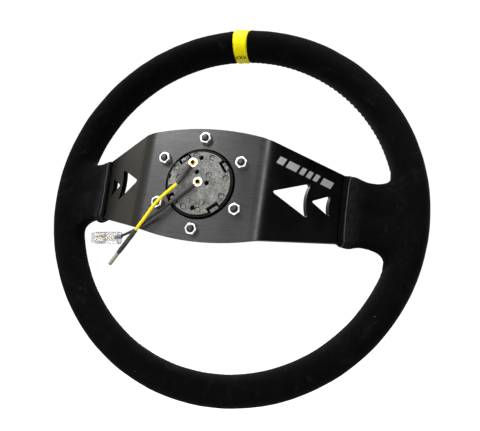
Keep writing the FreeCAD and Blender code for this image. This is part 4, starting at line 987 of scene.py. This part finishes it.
def boot(name, node, eyelet, leave, wire_d):
    """An insulating sleeve over a terminal's barrel, narrowing on to its lead."""
    eyelet = np.array(eyelet) + np.array([0, BARREL_LIFT, 0])
    leave = np.array(leave, float)
    along = unit(leave - eyelet)
    start = eyelet + along * BOOT_START
    length = np.linalg.norm(leave - start)
    share = np.linspace(0, 1, 40)
    line = start + np.outer(share * length, along)
    line[:, 1] += np.sin(math.pi * share) * BOOT_BOW

    def radius(s, a):
        q = s / length
        slim = (BOOT_R - wire_d / 2 - 0.4) * max(0.0, (q - 0.5) / 0.5) ** 1.3
        lip = 0.35 * math.exp(-s / 0.25)
        wrinkle = 0.07 * math.sin(s * 2.1) + 0.05 * math.sin(s * 4.7)
        end = 0.3 * math.exp(-(length - s) / 0.25)
        return BOOT_R - slim - lip - end + wrinkle + 0.08 * np.cos(2 * a)

    piece = place(name, surface(name, [swept(line, radius, 24)]), "boot")
    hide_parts(node)


def make_leads():
    """Both horn leads with what is fixed to them, and the boots they leave from."""
    yellow, yellow_path = make_lead("lead_yellow", YELLOW_ROUTE, YELLOW_D, "yellow_insulation")
    black, _ = make_lead("lead_black", BLACK_ROUTE, BLACK_D, "black_insulation")
    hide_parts("yellow_wire")
    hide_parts("black_wire")
    covers = [shrink_sleeve(yellow_path), bare_tip(yellow_path)]
    boot("boot_sleeve_signal", "boot_signal", SIGNAL_EYELET, YELLOW_ROUTE[0], YELLOW_D)
    boot("boot_sleeve_ground", "boot_ground", GROUND_EYELET, BLACK_ROUTE[0], BLACK_D)


# ---------------------------------------------------------------------------------------------
# Printed dashes on the left wing, and painted shade round the horn base's stakes
# ---------------------------------------------------------------------------------------------

# Distance out along X, height of the middle of the inner end, and width of each dash.
DASHES = ((54.5, 24.6, 4.6), (61.0, 23.2, 7.4), (70.4, 21.3, 3.2), (75.4, 20.2, 3.2), (80.4, 19.2, 3.2),
          (86.2, 17.9, 7.8))
DASH_HIGH = 5.6
DASH_SLANT = 2.4
DASH_DROP = -0.218
PRINT_THICK = 0.06
PRINT_SUNK = 0.02
STAKES = ((5.1, 21.2), (-7.5, 19.9), (-7.0, 6.7), (-20.2, 5.0), (-18.9, -8.8), (-4.6, -14.8),
          (-2.6, -20.4), (9.2, -18.7), (19.0, 10.8), (16.1, 3.5), (21.2, -5.1))
# Dark rings of painted shade round the stakes: each ring's radius, its tube's radius and its height.
SHADE_RING_R = 2.2
SHADE_RING_TUBE_R = 0.2
SHADE_RING_Y = -1.55


def make_dashes():
    """Slanted dashes along the wing's upper edge, each a thin closed slab on its rear face."""
    square = np.array([-math.sin(WING), math.cos(WING), 0.0])
    shells = []
    for x, z, wide in DASHES:
        drop = wide * DASH_DROP
        corners = ((0, 0), (wide, drop), (wide + DASH_SLANT, drop + DASH_HIGH), (DASH_SLANT, DASH_HIGH))
        outline = []
        for u, v in corners:
            far = x + u
            y = PLATE_REAR - (far - BEND_X) * math.tan(WING)
            outline.append((-far, y, z - DASH_HIGH / 2 + v))
        outline = np.array(outline)
        shells.append(np.array([outline - PRINT_SUNK * square, outline + PRINT_THICK * square]))
    place("wing_dashes", surface("wing_dashes", shells), "badge", finish="print", sharp=20)


def make_stake_shade_rings():
    """Dark rings of painted shade in the groove round each heat stake of the horn base."""
    turn = np.linspace(0, 2 * math.pi, 32, endpoint=False)
    shells = []
    for x, z in STAKES:
        ring = np.stack([x + SHADE_RING_R * np.cos(turn), SHADE_RING_Y + 0 * turn,
                         z + SHADE_RING_R * np.sin(turn)], axis=1)
        shells.append(swept(ring, SHADE_RING_TUBE_R, 6, closed=True))
    # Near-black rings stand for the shade in each stake's recess, as painted shade.
    place("stake_shade_rings", surface("stake_shade_rings", shells, close_rows=True), "base", finish="bezel")


# ---------------------------------------------------------------------------------------------
# The scene, in order
# ---------------------------------------------------------------------------------------------

make_camera()
make_world()
finishes = make_finishes()
make_floor()
make_lights()

for sleeve_name, node, first, last, ends in (
        ("suede_sleeve_upper_right", "suede_upper_right", 0.0, MARKER_START, (False, True)),
        ("suede_sleeve_upper_left", "suede_upper_left", MARKER_END, 180.0, (True, False)),
        ("suede_sleeve_lower", "suede_lower", 180.0, 360.0, (False, False))):
    cover = sleeve(sleeve_name, "suede", first, last, tuck(*ends), suede_height)
    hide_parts(node)
band = sleeve("marker_sleeve", "marker", MARKER_START, MARKER_END, tuck(True, True), marker_height, 8.0)
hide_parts("marker_band")
make_stitches()
make_marker_stitches()
make_piping([collar(1), collar(-1)])
make_bolts_and_nuts()
make_leads()
make_dashes()
make_stake_shade_rings()

# ---------------------------------------------------------------------------------------------
# CAD nodes that keep their shape
# ---------------------------------------------------------------------------------------------

CAD_SLOTS = {
    "spoke_plate": "plate", "rim_armature": "armature", "armature_tabs": "armature",
    "armature_rivets": "rivet", "grip_foam": "foam", "suede_upper_left": "suede",
    "suede_upper_right": "suede", "suede_lower": "suede", "marker_band": "marker",
    "spoke_collar_left": "suede", "spoke_collar_right": "suede", "collar_piping": "piping",
    "hub_bolts": "bolt", "hub_nuts": "nut", "horn_ring": "ring", "horn_housing": "housing",
    "horn_base": "base", "base_stakes": "base", "retaining_clips": "spring_steel",
    "horn_bezel": "bezel", "horn_cap": "cap", "cap_badge": "badge",
    "upper_contact": "contact_steel", "lower_contact": "brass_aged", "horn_springs": "spring_steel",
    "terminal_signal": "tinned", "terminal_ground": "tinned", "terminal_eyelets": "brass",
    "boot_signal": "boot", "boot_ground": "boot", "end_sleeve": "sleeve",
    "tinned_end": "tinned_copper", "connector_housing": "clear_housing",
    "yellow_wire": "yellow_insulation", "black_wire": "black_insulation",
    "spade_terminal": "spade",
}
# How wide each node's rounded edges are, in millimetres.
EDGE_ROUNDS = {
    "spoke_plate": 0.45, "horn_cap": 0.5, "horn_bezel": 0.4, "horn_ring": 0.4, "cap_badge": 0.15,
    "horn_housing": 0.15, "horn_base": 0.12, "base_stakes": 0.15, "retaining_clips": 0.12,
    "terminal_signal": 0.1, "terminal_ground": 0.1, "terminal_eyelets": 0.08,
    "connector_housing": 0.2, "spade_terminal": 0.1, "armature_rivets": 0.3,
}
for node, slot in CAD_SLOTS.items():
    dress(node, slot)
for node, width in EDGE_ROUNDS.items():
    soften_edges(node, width)
